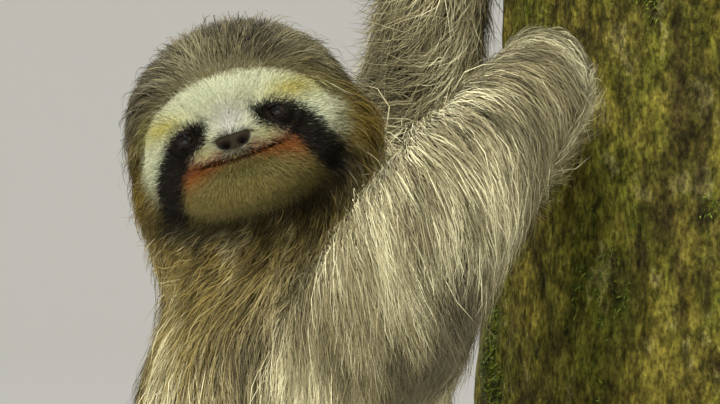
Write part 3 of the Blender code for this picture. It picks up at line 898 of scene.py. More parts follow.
# Start and end of a limb, its reach, and the way the hair lies at its start and end
LIE = (
    (place(0.19, 0, 0.66), place(0.18, 0, 0.30), 0.115, (0, 0, -1), (0, 0, -1)),
    (SHOULDER[RIGHT], ELBOW[RIGHT], 0.045, (-0.45, 0, -1), (0.20, 0, -1)),
    (ELBOW[RIGHT], WRIST[RIGHT], 0.040, (0.28, 0.10, -1), (1.0, 0.5, -0.75)),
    (WRIST[RIGHT], KNUCKLES[RIGHT], 0.040, (1.0, 0.6, -0.45), (1.0, 0.8, -0.35)),
    (SHOULDER[LEFT], ELBOW[LEFT], 0.045, (-0.5, 0.2, -1), (-1.0, 0.1, -0.5)),
    (ELBOW[LEFT], WRIST[LEFT], 0.040, (-1.0, -0.2, -0.5), (-0.8, -0.2, -0.9)),
    (WRIST[LEFT], KNUCKLES[LEFT], 0.040, (-0.3, 0.0, -1.0), (0.0, 0.1, 1.0)),
    (HIP[RIGHT], KNEE[RIGHT], 0.050, (0, 0, -1), (0.3, -0.2, -1)),
    (KNEE[RIGHT], ANKLE[RIGHT], 0.040, (0.2, -0.1, -1), (0.3, 0.0, -1)),
    (HIP[LEFT], KNEE[LEFT], 0.050, (0, 0, -1), (0.0, 0.3, -1)),
    (KNEE[LEFT], ANKLE[LEFT], 0.040, (0.0, 0.2, -1), (0.3, 0.1, -1)),
    (TAIL_ROOT, TAIL_TIP, 0.030, (-0.6, -0.3, -0.6), (-0.6, -0.3, -0.4)),
)
# The hair of the shoulder and back spreads from a whorl at the armpit.
WHORL = Vector((-0.070, -0.12, 0.706))
WHORL_REACH = 0.16
NOSE_ROOT = np.array((0.0, -60.0, -8.0))


# %% Which way the hair lies at a place
def face_lie(points):
    """On the head hair runs away from the nose, round the eyes and away from the lips, then hangs."""
    local = in_head(points)
    x, y, z = local.T
    away = unit(local - NOSE_ROOT)
    for side in (LEFT, RIGHT):
        eye = np.array((side * EYE_X, EYE_Y, EYE_Z))
        close = np.exp(-((np.linalg.norm(local - eye, axis=1) / 9.0) ** 2))
        away += 2.2 * close[:, None] * unit(local - eye)
    above, along = mouth_distance(x, z)
    lips = np.exp(-((above / 5.0) ** 2)) * along * smooth(-25, -35, y)
    away[:, 2] -= 1.4 * lips * (above < 0)
    away[:, 0] += 1.6 * lips * np.sign(x) * smooth(0.0, 5.0, np.abs(x)) * (above > 0)
    on_face = face_share(x, y, z)
    hang = (0.25 + 0.9 * smooth(10, 45, np.abs(x)) + 0.5 * smooth(0, 30, y)) * (1 - on_face)
    return from_head(away) + hang[:, None] * DOWN


def lie(points, normals):
    """The way the hair lies at places on the skin."""
    total = np.zeros_like(points)
    weight = np.full(len(points), 1e-6)
    for start, end, reach, at_start, at_end in LIE:
        share, t = limb_share(points, start, end, reach)
        way = unit(np.array(at_start) + (np.array(at_end) - np.array(at_start)) * t[:, None])
        total += way * share[:, None]
        weight += share
    total /= weight[:, None]
    fan = points - np.array(WHORL)
    close = np.exp(-((np.linalg.norm(fan, axis=1) / WHORL_REACH) ** 2))
    body_side = limb_share(points, place(0.20, 0, 0.70), place(0.18, 0, 0.30), 0.12)[0]
    body_side = np.maximum(body_side, limb_share(points, NECK_LOW, HEAD_CENTRE, 0.070)[0])
    arm_side = limb_share(points, SHOULDER[RIGHT], ELBOW[RIGHT], 0.045)[0]
    fan_share = 3.2 * close * np.maximum(body_side - 0.8 * arm_side, 0)
    total += fan_share[:, None] * unit(fan * np.array((1, 0.2, 1)))
    x, y, z = face_places(points)
    under_jaw = smooth(-24.0, -36.0, z) * (1 - face_share(x, y, z))
    share = (head_share(points) * (1 - 0.85 * under_jaw))[:, None]
    total = total * (1 - share) + face_lie(points) * share
    # Where the surface faces up, hanging hair has no way to go, so it falls forward over the limb.
    top = smooth(0.0, 0.7, normals[:, 2]) * (1 - head_share(points))
    total = unit(total) + top[:, None] * np.array((0.8, -0.9, 0.0))
    far_arm = limb_share(points, ELBOW[LEFT], WRIST[LEFT], 0.050)[0]
    loose = 0.30 + 0.7 * far_arm - 0.22 * head_share(points)
    drift = np.array([noise.noise_vector(Vector(p) * 32.0) for p in points])
    return flatten(total + loose[:, None] * drift, normals)


# %% The skin as a field that tufts can ask
skin.data.calc_loop_triangles()
corner = np.empty(len(skin.data.loop_triangles) * 3, int)
skin.data.loop_triangles.foreach_get("vertices", corner)
corner = corner.reshape(-1, 3)
skin_normals = vertex_normals(skin.data)
surface = BVHTree.FromPolygons(skin_points.tolist(), corner.tolist())

owner = nearest_node(skin_points)
x, y, z = face_places(skin_points)
on_head = head_share(skin_points)
on_face = face_share(x, y, z) * on_head
coat_depth = spread(skin.data, coat_value(owner, 0), 6)
coat_length = spread(skin.data, coat_value(owner, 1), 6)
forehead = hill(x, z, (0.0, 10.0), (34.0, 8.0))
face_length = 3.9 + 3.2 * forehead + 1.5 * smooth(-24, -36, z)
near_eye = smooth(12.0, 6.5, eye_distance(x, y, z))
above, along = mouth_distance(x, z)
near_lips = np.exp(-((above / 4.0) ** 2)) * along
near_nose = hill(x, z, (0.0, -14.0), (11.0, 4.5)) * smooth(-36, -42, y)
face_length *= 1 - 0.6 * np.maximum(np.maximum(near_eye, near_lips), near_nose)
under_jaw = smooth(-24.0, -36.0, z) * on_head * smooth(20.0, 0.0, y)
coat_length *= 1 - 0.5 * under_jaw
coat_length += (face_length * MM - coat_length) * on_face
coat_depth += (SHORT_COAT * MM - coat_depth) * on_face
coat_depth *= 1 - 0.6 * on_face * np.maximum(near_eye, near_nose)
skin_lie = lie(skin_points, skin_normals)


def face_average(values):
    return values[corner].mean(axis=1)


face_lies = unit(face_average(skin_lie))
print("coat depth", round(coat_depth.min(), 4), "to", round(coat_depth.max(), 4))

# %% Which tufts grow where
HURRY = 1.0
SHOULDERS_ABOVE = 0.53


def part_of(name):
    return next(part for part in COAT if name.startswith(part))


def region_of_faces():
    """The coat piece that each triangle of the skin belongs to."""
    middle = face_average(skin_points)
    found = []
    on_brow = in_head(middle)[:, 2] > EYE_Z - 4.0
    for number, height, face, brow in zip(
        owner[corner[:, 0]], middle[:, 2], face_average(on_face), on_brow
    ):
        name = FLESH[number]
        part = part_of(name)
        side = "left" if name.endswith("left") else "right"
        if part == "head":
            short = "coat_brow" if brow else "coat_muzzle"
            found.append(short if face > 0.4 else "coat_hood")
        elif part in ("upper_arm", "forearm", "hand"):
            if side == "left":
                found.append("coat_arm_left")
            else:
                found.append("coat_upper_arm_right" if part == "upper_arm" else "coat_forearm_right")
        elif part in ("thigh", "shank", "foot"):
            found.append("coat_leg_" + side)
        elif part == "neck":
            found.append("coat_neck")
        elif part == "torso" and height > SHOULDERS_ABOVE:
            found.append("coat_shoulders")
        else:
            found.append("coat_back")
    return np.array(found)


# Tufts, widest width in mm, frizz, how far they gather into locks, steps along each
TUFTS = {
    "coat_brow": (40000, 0.21, 0.26, 0.10, 2),
    "coat_muzzle": (40000, 0.20, 0.26, 0.10, 2),
    "coat_hood": (26000, 0.32, 0.36, 0.30, 4),
    "coat_neck": (14000, 0.42, 0.34, 0.40, 4),
    "coat_shoulders": (27000, 0.44, 0.18, 0.55, 4),
    "coat_upper_arm_right": (22000, 0.41, 0.16, 0.55, 4),
    "coat_forearm_right": (24000, 0.37, 0.15, 0.50, 4),
    "coat_arm_left": (20000, 0.40, 0.80, 0.45, 4),
    "coat_back": (26000, 0.85, 0.16, 0.50, 4),
    "coat_leg_left": (9000, 0.85, 0.18, 0.45, 4),
    "coat_leg_right": (9000, 0.85, 0.18, 0.45, 4),
}
region = region_of_faces()
for name in TUFTS:
    print(name, int(np.sum(region == name)), "triangles of skin")


# %% [markdown]
# ## Roots
# Hair grows evenly, so its roots can't be picked wholly at random, which leaves clumps and gaps. Each coat
# piece is unwrapped, many random places are tried in the unwrap, and only the first in each small square
# cell is kept. The unwrap is a throwaway copy: only the numbers stay.

# %% Roots, one from each cell of the unwrap
TRIES_PER_ROOT = 5


def unwrapped(faces, name):
    """The region's own unwrap: a (faces, 3, 2) array of its corners' places in the unit square."""
    used, numbers = np.unique(corner[faces], return_inverse=True)
    mesh = bpy.data.meshes.new(name)
    mesh.from_pydata(skin_points[used].tolist(), [], numbers.reshape(-1, 3).tolist())
    cloth = link(name, mesh)
    bpy.context.view_layer.objects.active = cloth
    cloth.select_set(True)
    bpy.ops.object.mode_set(mode="EDIT")
    bpy.ops.mesh.select_all(action="SELECT")
    bpy.ops.uv.smart_project(angle_limit=math.radians(66), island_margin=0.004, scale_to_bounds=True)
    bpy.ops.object.mode_set(mode="OBJECT")
    flat = np.empty(len(mesh.loops) * 2)
    mesh.uv_layers.active.uv.foreach_get("vector", flat)
    bpy.data.objects.remove(cloth)
    return flat.reshape(-1, 3, 2)


def cross_area(triangles):
    a = triangles[:, 1] - triangles[:, 0]
    b = triangles[:, 2] - triangles[:, 0]
    return 0.5 * np.abs(a[:, 0] * b[:, 1] - a[:, 1] * b[:, 0])


def choose_roots(faces, flat, count, chance):
    """Even roots: many random places in the unwrap, thinned to one in each cell."""
    area = cross_area(flat)
    cell = math.sqrt(area.sum() / count)
    size = count * TRIES_PER_ROOT
    tries = chance.choice(len(faces), size=size, p=area / area.sum())
    a, b = chance.random((2, size))
    flip = a + b > 1
    a, b = np.where(flip, 1 - a, a), np.where(flip, 1 - b, b)
    share = np.stack((1 - a - b, a, b), axis=1)
    spot = np.einsum("nk,nkd->nd", share, flat[tries])
    cells = np.floor(spot / cell).astype(int)
    _, first = np.unique(cells[:, 0] * 100000 + cells[:, 1], return_index=True)
    return faces[tries[first]], share[first], spot[first]


# %% [markdown]
# ## Paths
# A tuft is led in a few even steps. After each step the nearest place on the skin is asked for, and the
# tuft is set back to its own height over it, low at the root and highest at the tip. Then neighbours are
# drawn together into locks, which is what makes a coarse coat look coarse, and sharp turns are evened.

# %% Lead tufts over the skin
HANG = 0.85


def lead(roots, normals, ways, lengths, heights, steps):
    """Paths of (tufts, steps + 1, 3), each step held to its own height over the skin below."""
    path = np.empty((len(roots), steps + 1, 3))
    ups = np.empty_like(path)
    path[:, 0] = roots
    ups[:, 0] = normals
    now, way = roots.copy(), ways.copy()
    for step in range(1, steps + 1):
        t = step / steps
        ahead = now + way * (lengths / steps)[:, None]
        rise = heights * (1 - (1 - t) ** 3.6)
        found, up, number = [], [], []
        for point in ahead:
            hit, normal, index, _ = surface.find_nearest(Vector(point))
            found.append(hit)
            up.append(normal)
            number.append(index)
        found, up = np.array(found), np.array(up)
        height_now = np.sum((ahead - found) * up, axis=1)
        # Under a limb the hair hangs free of the skin.
        free = HANG * smooth(-0.2, 0.6, up @ DOWN)
        rise = rise + np.clip(height_now - rise, 0, None) * free
        spot = found + up * rise[:, None]
        field = face_lies[number]
        way = unit(0.45 * field + 0.55 * way)
        way = unit(flatten(way, up) * (1 - free[:, None]) + free[:, None] * unit(spot - now))
        now = spot
        path[:, step] = now
        ups[:, step] = up
    return path, ups


# %% Gather tufts into locks, and even what turns too sharply
PER_LOCK = 16


def gather(path, amount, chance):
    """Draws tufts towards their nearest leading tuft, more towards the tips, so they form locks."""
    leaders = chance.choice(len(path), size=max(1, len(path) // PER_LOCK), replace=False)
    tree = KDTree(len(leaders))
    for number, leader in enumerate(leaders):
        tree.insert(path[leader, 0], number)
    tree.balance()
    mine = leaders[[tree.find(root)[1] for root in path[:, 0]]]
    t = np.linspace(0, 1, path.shape[1])[None, :, None]
    return path + (path[mine] - path) * amount * t**1.5, mine


def unkinked(path):
    """Evens the paths that turn too sharply, as a hair bends but doesn't break."""
    legs = np.diff(path, axis=1)
    legs /= np.linalg.norm(legs, axis=2, keepdims=True) + 1e-9
    straight = np.sum(legs[:, 1:] * legs[:, :-1], axis=2).min(axis=1)
    even = path.copy()
    even[:, 1:-1] = path[:, 1:-1] / 2 + (path[:, :-2] + path[:, 2:]) / 4
    even[:, -1] = path[:, -1] / 2 + even[:, -2] - even[:, -3] / 2
    return path + (even - path) * smooth(0.8, 0.4, straight)[:, None, None]


# %% [markdown]
# ## Ribbons
# Particle hair would be lost on the way to other programs, so each tuft is a real ribbon of a few faces
# that ends in a point. All the ribbons of a piece are joined in one mesh and filled in as arrays, because
# a hundred thousand separate operators would take minutes. Each ribbon holds its colour along its length
# and one small patch of the map, at its root's place.

# %% Make tufts into one mesh
PATCH = 0.003
OUTLINE = (0.75, 1.0, 0.86, 0.55)


def ribbons(name, path, ups, widths, rolls, colours, spots):
    """Tapered ribbons that end in a point, with their colour along them and a patch on the map."""
    count, stations = path.shape[:2]
    steps = stations - 1
    along = unit(np.gradient(path, axis=1))
    side = unit(np.cross(along, ups))
    face = np.cross(side, along)
    tilt = rolls[:, None, None]
    side = side * np.cos(tilt) + face * np.sin(tilt)
    taper = np.interp(np.linspace(0, 1, stations)[:steps], np.linspace(0, 0.75, 4), OUTLINE)
    half = widths[:, None, None] / 2 * taper[None, :, None]
    verts = np.empty((count, 2 * steps + 1, 3))
    verts[:, 0 : 2 * steps : 2] = path[:, :steps] + side[:, :steps] * half
    verts[:, 1 : 2 * steps : 2] = path[:, :steps] - side[:, :steps] * half
    verts[:, -1] = path[:, -1]
    pattern = []
    for step in range(steps - 1):
        low = 2 * step
        pattern += [low + 1, low, low + 2, low + 3]
    pattern += [2 * steps - 1, 2 * steps - 2, 2 * steps]
    per_tuft = np.array([4] * (steps - 1) + [3])
    first = np.arange(count)[:, None] * (2 * steps + 1)
    loops = (np.array(pattern)[None] + first).ravel()
    totals = np.tile(per_tuft, count)
    mesh = bpy.data.meshes.new(name)
    mesh.vertices.add(verts.shape[0] * verts.shape[1])
    mesh.vertices.foreach_set("co", verts.astype(np.float32).ravel())
    mesh.loops.add(len(loops))
    mesh.loops.foreach_set("vertex_index", loops.astype(np.int32))
    mesh.polygons.add(len(totals))
    mesh.polygons.foreach_set("loop_start", (np.cumsum(totals) - totals).astype(np.int32))
    mesh.update(calc_edges=True)
    mesh.shade_smooth()
    shade = np.empty((count, 2 * steps + 1, 3))
    shade[:, 0 : 2 * steps : 2] = colours[:, :steps]
    shade[:, 1 : 2 * steps : 2] = colours[:, :steps]
    shade[:, -1] = colours[:, -1]
    paint(mesh, "MarkingsAndShade", shade.reshape(-1, 3))
    corner_u = np.array([0.5, -0.5] * steps + [0.0]) * PATCH
    corner_v = (np.array([s for s in range(steps) for _ in (0, 1)] + [steps]) / steps - 0.5) * PATCH
    spots = np.clip(spots, PATCH, 1 - PATCH)
    u = (spots[:, 0:1] + corner_u[None])[:, pattern]
    v = (spots[:, 1:2] + corner_v[None])[:, pattern]
    layer = mesh.uv_layers.new(name="OFBake")
    layer.uv.foreach_set("vector", np.stack((u, v), axis=-1).astype(np.float32).ravel())
    return mesh


# %% [markdown]
# ## Colour of the hair
# A lock is dark at its root and bleached towards its tip, and no two locks fade alike; the dark root is
# partly painted shade in the depth of the coat. Each tuft starts from the marks at its place, then luck
# shared within its lock and noise over the body push it towards pale straw or towards dark, which is
# partly the dark underfur and partly painted shade between the locks. Some long locks at the shoulder are
# bleached almost white, the top of the upper arm is painted light, and behind the shoulder is painted
# shade.

# %% Colour each tuft
# Where long locks hang bleached pale, and where the top of the upper arm is painted light: across, up,
# half width and half height, in millimetres
BLEACHED_AND_LIT = (
    (-73, 635, 8, 22),
    (-57, 659, 5, 15),
    (-98, 626, 9, 12),
    # Painted light on the top of the upper arm, where the key lamp falls.
    (-46, 717, 14, 13),
)


def bleached_and_lit(points):
    """1 in the middle of each pale patch and 0 elsewhere: bleached locks on the side of the shoulder, and
    painted light on the top of the upper arm.
    """
    x, y, z = (points / MM).T
    found = np.zeros(len(x))
    for across, up, wide, high in BLEACHED_AND_LIT:
        found = np.maximum(found, hill(x, z, (across, up), (wide, high)))
    return found * smooth(-40.0, -70.0, y)


def tuft_colours_and_shade(path, on_body, chance, mine):
    """Dark at the root, partly as painted shade, pale towards the tip, and no two tufts alike."""
    count, stations = path.shape[:2]
    at = path[:, stations // 2]
    on_hood = head_share(at)
    blur = 1.3 * MM + 1.2 * MM * on_body
    own = markings_and_shade(at + chance.normal(0, 1, at.shape) * blur[:, None])
    lock = chance.random(count)[mine]
    luck = 0.45 * chance.random(count) + 0.55 * lock
    streak = np.array([noise.noise(Vector(p * (34, 34, 15))) for p in path[:, 1]])
    coarse = np.array([noise.noise(Vector(p * (80, 80, 30))) for p in path[:, 1]])
    fleck = np.array([noise.noise(Vector(p * 230)) for p in path[:, 1]]) * on_hood
    bright = luck + 0.65 * streak + 0.30 * coarse + 0.55 * fleck
    # Painted light on top of the upper arm, and painted shade behind the shoulder.
    bright += 0.40 * bleached_and_lit(at) - 0.22 * painted_shade_behind_shoulder(at)
    pale = smooth(0.57, 1.0, bright) * on_body * (1 - 0.7 * on_hood) * (1 - 0.75 * neck_share(at))
    # Dark tufts: partly the dark underfur, partly painted shade between the locks.
    dark = smooth(0.52, 0.18, bright)
    base = over(own, STRAW, 0.88 * pale)
    base = base * (1 - 0.74 * dark * (0.2 + 0.8 * on_body))[:, None]
    uneven = 0.10 + 0.10 * on_body
    base = base * (1 + uneven * chance.uniform(-1, 1, count))[:, None]
    t = np.linspace(0, 1, stations)[None, :, None]
    # Painted shade: each tuft is darker towards its root, in the depth of the coat.
    shade = 0.30 + 0.76 * smooth(0.0, 0.5, t)
    face = 1 - on_body[:, None, None]
    shade = shade * (1 - face) + (0.70 + 0.34 * smooth(0.0, 0.6, t)) * face
    lift = 0.15 * smooth(0.55, 1.0, t) * (on_body * (1 - 0.6 * on_hood))[:, None, None]
    return base[:, None] * shade * (1 - lift) + np.array(STRAW) * lift * 0.8


# %% Coat finish: matt horn that is a little uneven
coat_material, tree, shader = new_material("coat", roughness=0.62)
shader.inputs["Specular IOR Level"].default_value = 0.12
fine = blend(tree, mottle(tree, 900.0, 2.2), tint(0.72), tint(1.22))
tree.links.new(blend(tree, 1.0, read(tree, "MarkingsAndShade"), fine, "MULTIPLY"), shader.inputs["Base Color"])
tree.links.new(remap(tree, mottle(tree, 300.0), 0.2, 0.8, 0.5, 0.75), shader.inputs["Roughness"])


# %% Grow the coat
STRAYS = 0.05
BARE_LIMIT = 0.35
FIRST_SEED = 7


def grow(number, name):
    """One coat piece: its roots, then their paths over the skin, then ribbons along the paths."""
    count, wide, frizz, lock, steps = TUFTS[name]
    chance = np.random.default_rng(number + FIRST_SEED)
    faces = np.flatnonzero(region == name)
    flat = unwrapped(faces, name)
    chosen, share, spots = choose_roots(faces, flat, int(count * HURRY), chance)
    corners = corner[chosen]

    def at_roots(values):
        return np.einsum("nk,nk...->n...", share, values[corners])

    roots, normals = at_roots(skin_points), unit(at_roots(skin_normals))
    free = at_roots(bare) < BARE_LIMIT
    roots, normals, share, corners, spots = (
        a[free] for a in (roots, normals, share, corners, spots)
    )
    size = len(roots)
    lengths = at_roots(coat_length) * chance.uniform(0.65, 1.15, size)
    stray = (chance.random(size) < STRAYS) * 1.0
    heights = at_roots(coat_depth) * chance.uniform(0.30, 1.0, size) ** 0.8 * (1 + 0.6 * stray)
    face_now = at_roots(on_face)
    ways = flatten(at_roots(skin_lie), normals)
    across = np.cross(normals, ways)
    turn = chance.normal(0, frizz, size) * (1 + stray)
    ways = ways * np.cos(turn)[:, None] + across * np.sin(turn)[:, None]
    path, ups = lead(roots, normals, ways, lengths, heights, steps)
    path, mine = gather(path, lock, chance)
    t = np.linspace(0, 1, steps + 1)[None, :, None]
    bend = chance.normal(0, 0.34 * frizz, (2, size)) * lengths
    curl = across * bend[0][:, None] + normals * 0.5 * np.abs(bend[1])[:, None]
    wave = chance.normal(0, 0.022, (size, steps + 1, 3)) * lengths[:, None, None]
    path = unkinked(unkinked(path + curl[:, None] * t**2 + wave * t))
    widths = wide * MM * chance.uniform(0.6, 1.25, size)
    rolls = chance.normal(0, 0.5, size)
    colours = tuft_colours_and_shade(path, 1 - face_now, chance, mine)
    made = link(name, ribbons(name, path, ups, widths, rolls, colours, spots), coat_material)
    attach(made, "root")
    print(name, size, "tufts")


for number, name in enumerate(TUFTS):
    grow(number, name)

# %% [markdown]
# ## Claws
# Three long hooks of horn grow from each hand and foot, hardly tapered until near the tip. The part holds
# each as a plain bent rod, so a copy of it is merged and rounded by subdivision. Horn is dark and worn at
# the root, paler along the curve, with fine streaks along its length.

# %% Claws
CLAW_LENGTH = 55 * MM

claw_material, tree, shader = new_material("claw", roughness=0.38)
horn = blend(tree, read(tree, "Along"), srgb(92, 74, 52), srgb(196, 178, 138))
streak = blend(tree, mottle(tree, (1400.0, 1400.0, 260.0), 2.4), tint(0.66), tint(1.18))
tree.links.new(blend(tree, 1.0, horn, streak, "MULTIPLY"), shader.inputs["Base Color"])
bump(tree, shader, mottle(tree, (1800.0, 1800.0, 300.0)), 0.3, 0.2 * MM)
shader.inputs["Coat Weight"].default_value = 0.2
for limb in ("hand", "foot"):
    for side, word in ((RIGHT, "right"), (LEFT, "left")):
        root = (KNUCKLES if limb == "hand" else TOES)[side]
        for number in (1, 2, 3):
            name = f"claw_{limb}_{word}_{number}"
            shape = bmesh.new()
            shape.from_mesh(nodes[name].data)
            bmesh.ops.remove_doubles(shape, verts=shape.verts[:], dist=WELD)
            made = link(f"horn_{limb}_{word}_{number}", mesh_of(shape, name + "_horn"))
            made.data.materials.append(claw_material)
            round_off = made.modifiers.new("round_off", "SUBSURF")
            round_off.levels = 2
            round_off.render_levels = 2
            far = np.linalg.norm(coordinates(made.data) - np.array(root), axis=1) / CLAW_LENGTH
            paint(made.data, "Along", np.tile(smooth(0.0, 0.7, far)[:, None], (1, 3)))
            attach(made, "root")
            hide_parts(name)
print("twelve claws")

# %% [markdown]
# ## Tree
# The perch is a length of a living rainforest trunk: shallow flutes, cracked bark that runs up and down,
# moss on the damp side and two sawn ends. The bark starts as a cylinder of many fine rings on the part's
# own flutes, and each point is pressed in by ridged noise that is stretched upwards, so it never stands
# proud of the solid that the claws rest on. Moss is mesh too: short blades in patches.

# %% Shape of the trunk, its cracks and its moss
TREE_FOOT, TREE_TOP = 0.078, 0.960
TREE_RADIUS_FOOT, TREE_RADIUS_TOP = 0.108, 0.090
BARK_SIDES, BARK_RINGS = 220, 250
BARK_DEPTH = 4.2 * MM
BARK_EDGE = 6 * MM


def tree_radius(angle, height):
    rise = (height - TREE_FOOT) / (TREE_TOP - TREE_FOOT)
    radius = TREE_RADIUS_FOOT + (TREE_RADIUS_TOP - TREE_RADIUS_FOOT) * rise
    flutes = 0.022 * math.sin(3 * angle + 2.2 * rise) + 0.012 * math.sin(5 * angle - 3.1 * rise + 1.0)
    return radius * (1 + flutes)


def bark_crack(spot):
    """0 on a ridge of the bark and 1 at the bottom of a crack."""
    bend = 0.006 * noise.noise(spot * 18)
    where = Vector(((spot.x + bend) * 62, (spot.y - bend) * 62, spot.z * 13))
    split = abs(noise.noise(where)) * 2.6
    flake = abs(noise.noise(where * 2.3 + Vector((7, 3, 5)))) * 2.2
    lumps = 0.5 + 0.5 * noise.noise(Vector((spot.x * 20, spot.y * 20, spot.z * 12)))
    return min(max(1.0 - 0.75 * min(split, 1.0) - 0.25 * min(flake, 1.0), 0.0), 1.0) * (0.5 + 0.5 * lumps)


def moss_on(spot):
    """1 in the middle of a patch of moss and 0 on bare bark."""
    patch = noise.noise(Vector((spot.x * 26, spot.y * 26, spot.z * 9)))
    ragged = noise.noise(Vector((spot.x * 95, spot.y * 95, spot.z * 50)))
    return min(max(0.5 + 1.1 * patch + 0.6 * ragged, 0.0), 1.0) * 0.8


# %% Bark mesh
RIM_CHAMFER = 1.2 * MM

shape = bmesh.new()
length = TREE_TOP - TREE_FOOT
bmesh.ops.create_cone(shape, cap_ends=True, segments=BARK_SIDES, radius1=1, radius2=1, depth=length)
uprights = [e for e in shape.edges if abs(e.verts[0].co.z - e.verts[1].co.z) > length / 2]
bmesh.ops.subdivide_edges(shape, edges=uprights, cuts=BARK_RINGS - 1)
crack_of = {}
for vertex in shape.verts:
    height = vertex.co.z + (TREE_TOP + TREE_FOOT) / 2
    angle = math.atan2(vertex.co.y, vertex.co.x)
    out = Vector((math.cos(angle), math.sin(angle), 0.0))
    radius = tree_radius(angle, height)
    spot = tree_axis(height) + out * radius
    crack = bark_crack(spot)
    rim = min(height - TREE_FOOT, TREE_TOP - height) / BARK_EDGE
    chamfer = RIM_CHAMFER * max(0.0, 1 - rim)
    vertex.co = spot - out * (BARK_DEPTH * crack + chamfer)
    crack_of[vertex.index] = crack
ends = [f for f in shape.faces if abs(f.normal.z) > 0.9 and len(f.verts) > 4]
bmesh.ops.triangulate(shape, faces=ends)
shape.faces.ensure_lookup_table()
for face in shape.faces:
    face.smooth = abs(face.normal.z) < 0.9
    face.material_index = 0 if face.smooth else 1
cracks = [crack_of[v.index] for v in shape.verts]
mossy = [moss_on(v.co) for v in shape.verts]
trunk_mesh = bpy.data.meshes.new("trunk")
shape.to_mesh(trunk_mesh)
shape.free()
trunk = link("trunk_with_bark", trunk_mesh)
trunk_mesh.set_sharp_from_angle(angle=math.radians(60))
paint(trunk_mesh, "Crack", np.tile(np.array(cracks)[:, None], (1, 3)))
paint(trunk_mesh, "Moss", np.tile(np.array(mossy)[:, None], (1, 3)))

# %% Bark finish: brown and olive wood, moss, lichen, cracks that are dark partly in their own colour and partly with painted shade, then two sizes of grain
bark_material, tree, shader = new_material("bark", roughness=0.9)
shader.inputs["Specular IOR Level"].default_value = 0.1
wood = blend(tree, mottle(tree, (110.0, 110.0, 34.0), 2.8), srgb(74, 66, 20), srgb(130, 120, 50))
ragged = remap(tree, mottle(tree, (260.0, 260.0, 120.0), 3.0), 0.2, 0.8, 0.45, 1.0)
moss_here = blend(tree, 1.0, read(tree, "Moss"), ragged, "MULTIPLY")
wood = blend(tree, moss_here, wood, srgb(70, 84, 18))
lichen_here = remap(tree, mottle(tree, (90.0, 90.0, 46.0), 3.4), 0.76, 0.94, 0.0, 0.45)
wood = blend(tree, lichen_here, wood, srgb(150, 142, 88))
# The cracks are darker: partly the bark's own colour inside them, partly painted shade in the recess.
wood = blend(tree, remap(tree, read(tree, "Crack"), 0.30, 0.85, 0.0, 0.85), wood, srgb(44, 34, 20))
pits = blend(tree, mottle(tree, (230.0, 230.0, 110.0), 3.6), tint(0.40), tint(1.38))
wood = blend(tree, 1.0, wood, pits, "MULTIPLY")
fleck = blend(tree, mottle(tree, (560.0, 560.0, 320.0), 3.8), tint(0.45), tint(1.50))
tree.links.new(blend(tree, 1.0, wood, fleck, "MULTIPLY"), shader.inputs["Base Color"])
bump(tree, shader, mottle(tree, (420.0, 420.0, 150.0), 3.0), 1.0, 2.0 * MM)
trunk_mesh.materials.append(bark_material)

# %% [markdown]
# ## Moss
# Moss is a felt of tiny shoots. Places are tried at random over the trunk and kept where the bark's own
# patches of moss are thickest, and each grows one short blade out of the bark. The blades are ribbons too,
# of two steps each, so the function that makes the tufts makes them as well.

# %% Moss
MOSS_TRIES = 200000
MOSS_LENGTH = 2.6 * MM
MOSS_WIDTH = 0.8 * MM
MOSS_SEED = 3
# How thick a patch has to be for any blade, and how much thicker for every blade
MOSS_THICK, MOSS_RIM = 0.64, 0.22

chance = np.random.default_rng(MOSS_SEED)
spots = np.stack((chance.random(MOSS_TRIES), chance.random(MOSS_TRIES)), axis=1)
roots, ups, kept = [], [], []
for number, (turn, rise) in enumerate(spots):
    angle = turn * math.tau
    height = TREE_FOOT + (0.01 + 0.98 * rise) * (TREE_TOP - TREE_FOOT)
    out = Vector((math.cos(angle), math.sin(angle), 0.0))
    spot = tree_axis(height) + out * tree_radius(angle, height)
    if moss_on(spot) > MOSS_THICK + MOSS_RIM * chance.random():
        roots.append(spot - out * BARK_DEPTH * (bark_crack(spot) + 0.05))
        ups.append(out)
        kept.append(number)
roots, ups, spots = np.array(roots), np.array(ups), spots[kept]
ways = flatten(DOWN + 0.9 * chance.normal(0, 1, roots.shape), ups)
lengths = MOSS_LENGTH * chance.uniform(0.5, 1.3, len(roots))[:, None]
middle = roots + lengths * (0.35 * ways + 0.60 * ups)
path = np.stack((roots, middle, middle + lengths * (0.55 * ways + 0.05 * ups)), axis=1)
greens = over(np.tile(srgb(62, 76, 18), (len(roots), 1)), srgb(112, 124, 44), chance.random(len(roots)))
# Painted shade: each blade is darker towards its root, inside the felt of the moss.
greens_with_root_shade = np.array((0.45, 0.85, 1.1))[None, :, None] * greens[:, None]
moss = ribbons(
    "moss",
    path,
    np.repeat(ups[:, None], 3, axis=1),
    np.full(len(roots), MOSS_WIDTH),
    chance.normal(0, 0.6, len(roots)),
    greens_with_root_shade,
    spots,
)
moss = link("moss", moss, coat_material)
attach(moss, "root")
print("moss", len(roots), "blades")

# %% [markdown]
# ## Sawn ends
# The trunk is cut level at both ends, and a cut shows the rings of the years round the tree's middle. A
# wave texture draws them in upright rings, which a Mapping node centres on the top cut, and fine noise
# breaks them up.

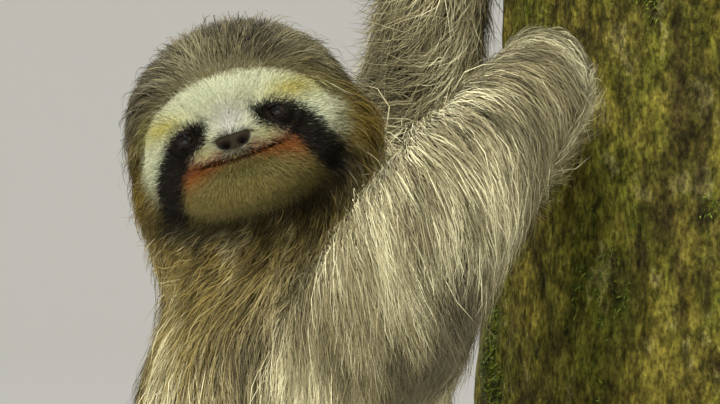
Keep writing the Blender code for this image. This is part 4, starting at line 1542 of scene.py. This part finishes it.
# %% Sawn ends
RING_WIDTH = 3.4 * MM
sawn_material, tree, shader = new_material("sawn_wood", roughness=0.7)
where = tree.nodes.new("ShaderNodeTexCoord")
centre = tree.nodes.new("ShaderNodeMapping")
centre.inputs["Location"].default_value = (-tree_axis(TREE_TOP).x, -tree_axis(TREE_TOP).y, 0)
rings = tree.nodes.new("ShaderNodeTexWave")
rings.wave_type = "RINGS"
rings.rings_direction = "Z"
rings.inputs["Scale"].default_value = 0.31 / RING_WIDTH
rings.inputs["Distortion"].default_value = 2.5
rings.inputs["Detail"].default_value = 2.0
rings.inputs["Detail Scale"].default_value = 0.6
tree.links.new(where.outputs["Object"], centre.inputs["Vector"])
tree.links.new(centre.outputs["Vector"], rings.inputs["Vector"])
grain = blend(tree, rings.outputs["Color"], srgb(182, 150, 104), srgb(138, 104, 64))
dust = blend(tree, mottle(tree, (320.0, 90.0, 90.0)), tint(0.8), tint(1.12))
tree.links.new(blend(tree, 1.0, grain, dust, "MULTIPLY"), shader.inputs["Base Color"])
bump(tree, shader, mottle(tree, (900.0, 160.0, 160.0)), 0.4, 0.5 * MM)
trunk_mesh.materials.append(sawn_material)
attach(trunk, "root")
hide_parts("perch_trunk")
print("trunk", len(trunk_mesh.polygons), "faces")

# %% [markdown]
# ## Stand
# The museum stand is plain on purpose: a round base of dark oiled wood and two steel rods. The part's own
# solids have the right shape already, so they only take better materials.

# %% Stand
wood_material, tree, shader = new_material("stand_wood", roughness=0.42)
dark = blend(tree, mottle(tree, (14.0, 150.0, 150.0), 2.6), srgb(48, 33, 23), srgb(92, 64, 42))
tree.links.new(dark, shader.inputs["Base Color"])
polish = remap(tree, mottle(tree, (20.0, 260.0, 260.0)), 0.2, 0.8, 0.34, 0.52)
tree.links.new(polish, shader.inputs["Roughness"])
bump(tree, shader, mottle(tree, (24.0, 420.0, 420.0)), 0.35, 0.3 * MM)
steel_material, tree, shader = new_material("stand_steel", roughness=0.3, metallic=1.0)
steel = blend(tree, mottle(tree, (260.0, 260.0, 1600.0)), srgb(150, 151, 154), srgb(190, 191, 194))
tree.links.new(steel, shader.inputs["Base Color"])
brushed = remap(tree, mottle(tree, (90.0, 90.0, 1800.0)), 0.2, 0.8, 0.24, 0.42)
tree.links.new(brushed, shader.inputs["Roughness"])
for name, finish in (
    ("stand_base", wood_material),
    ("stand_rod_1", steel_material),
    ("stand_rod_2", steel_material),
):
    slots = nodes[name].material_slots
    for slot in slots:
        slot.material = finish
    print(name, "has", len(slots), "slot")
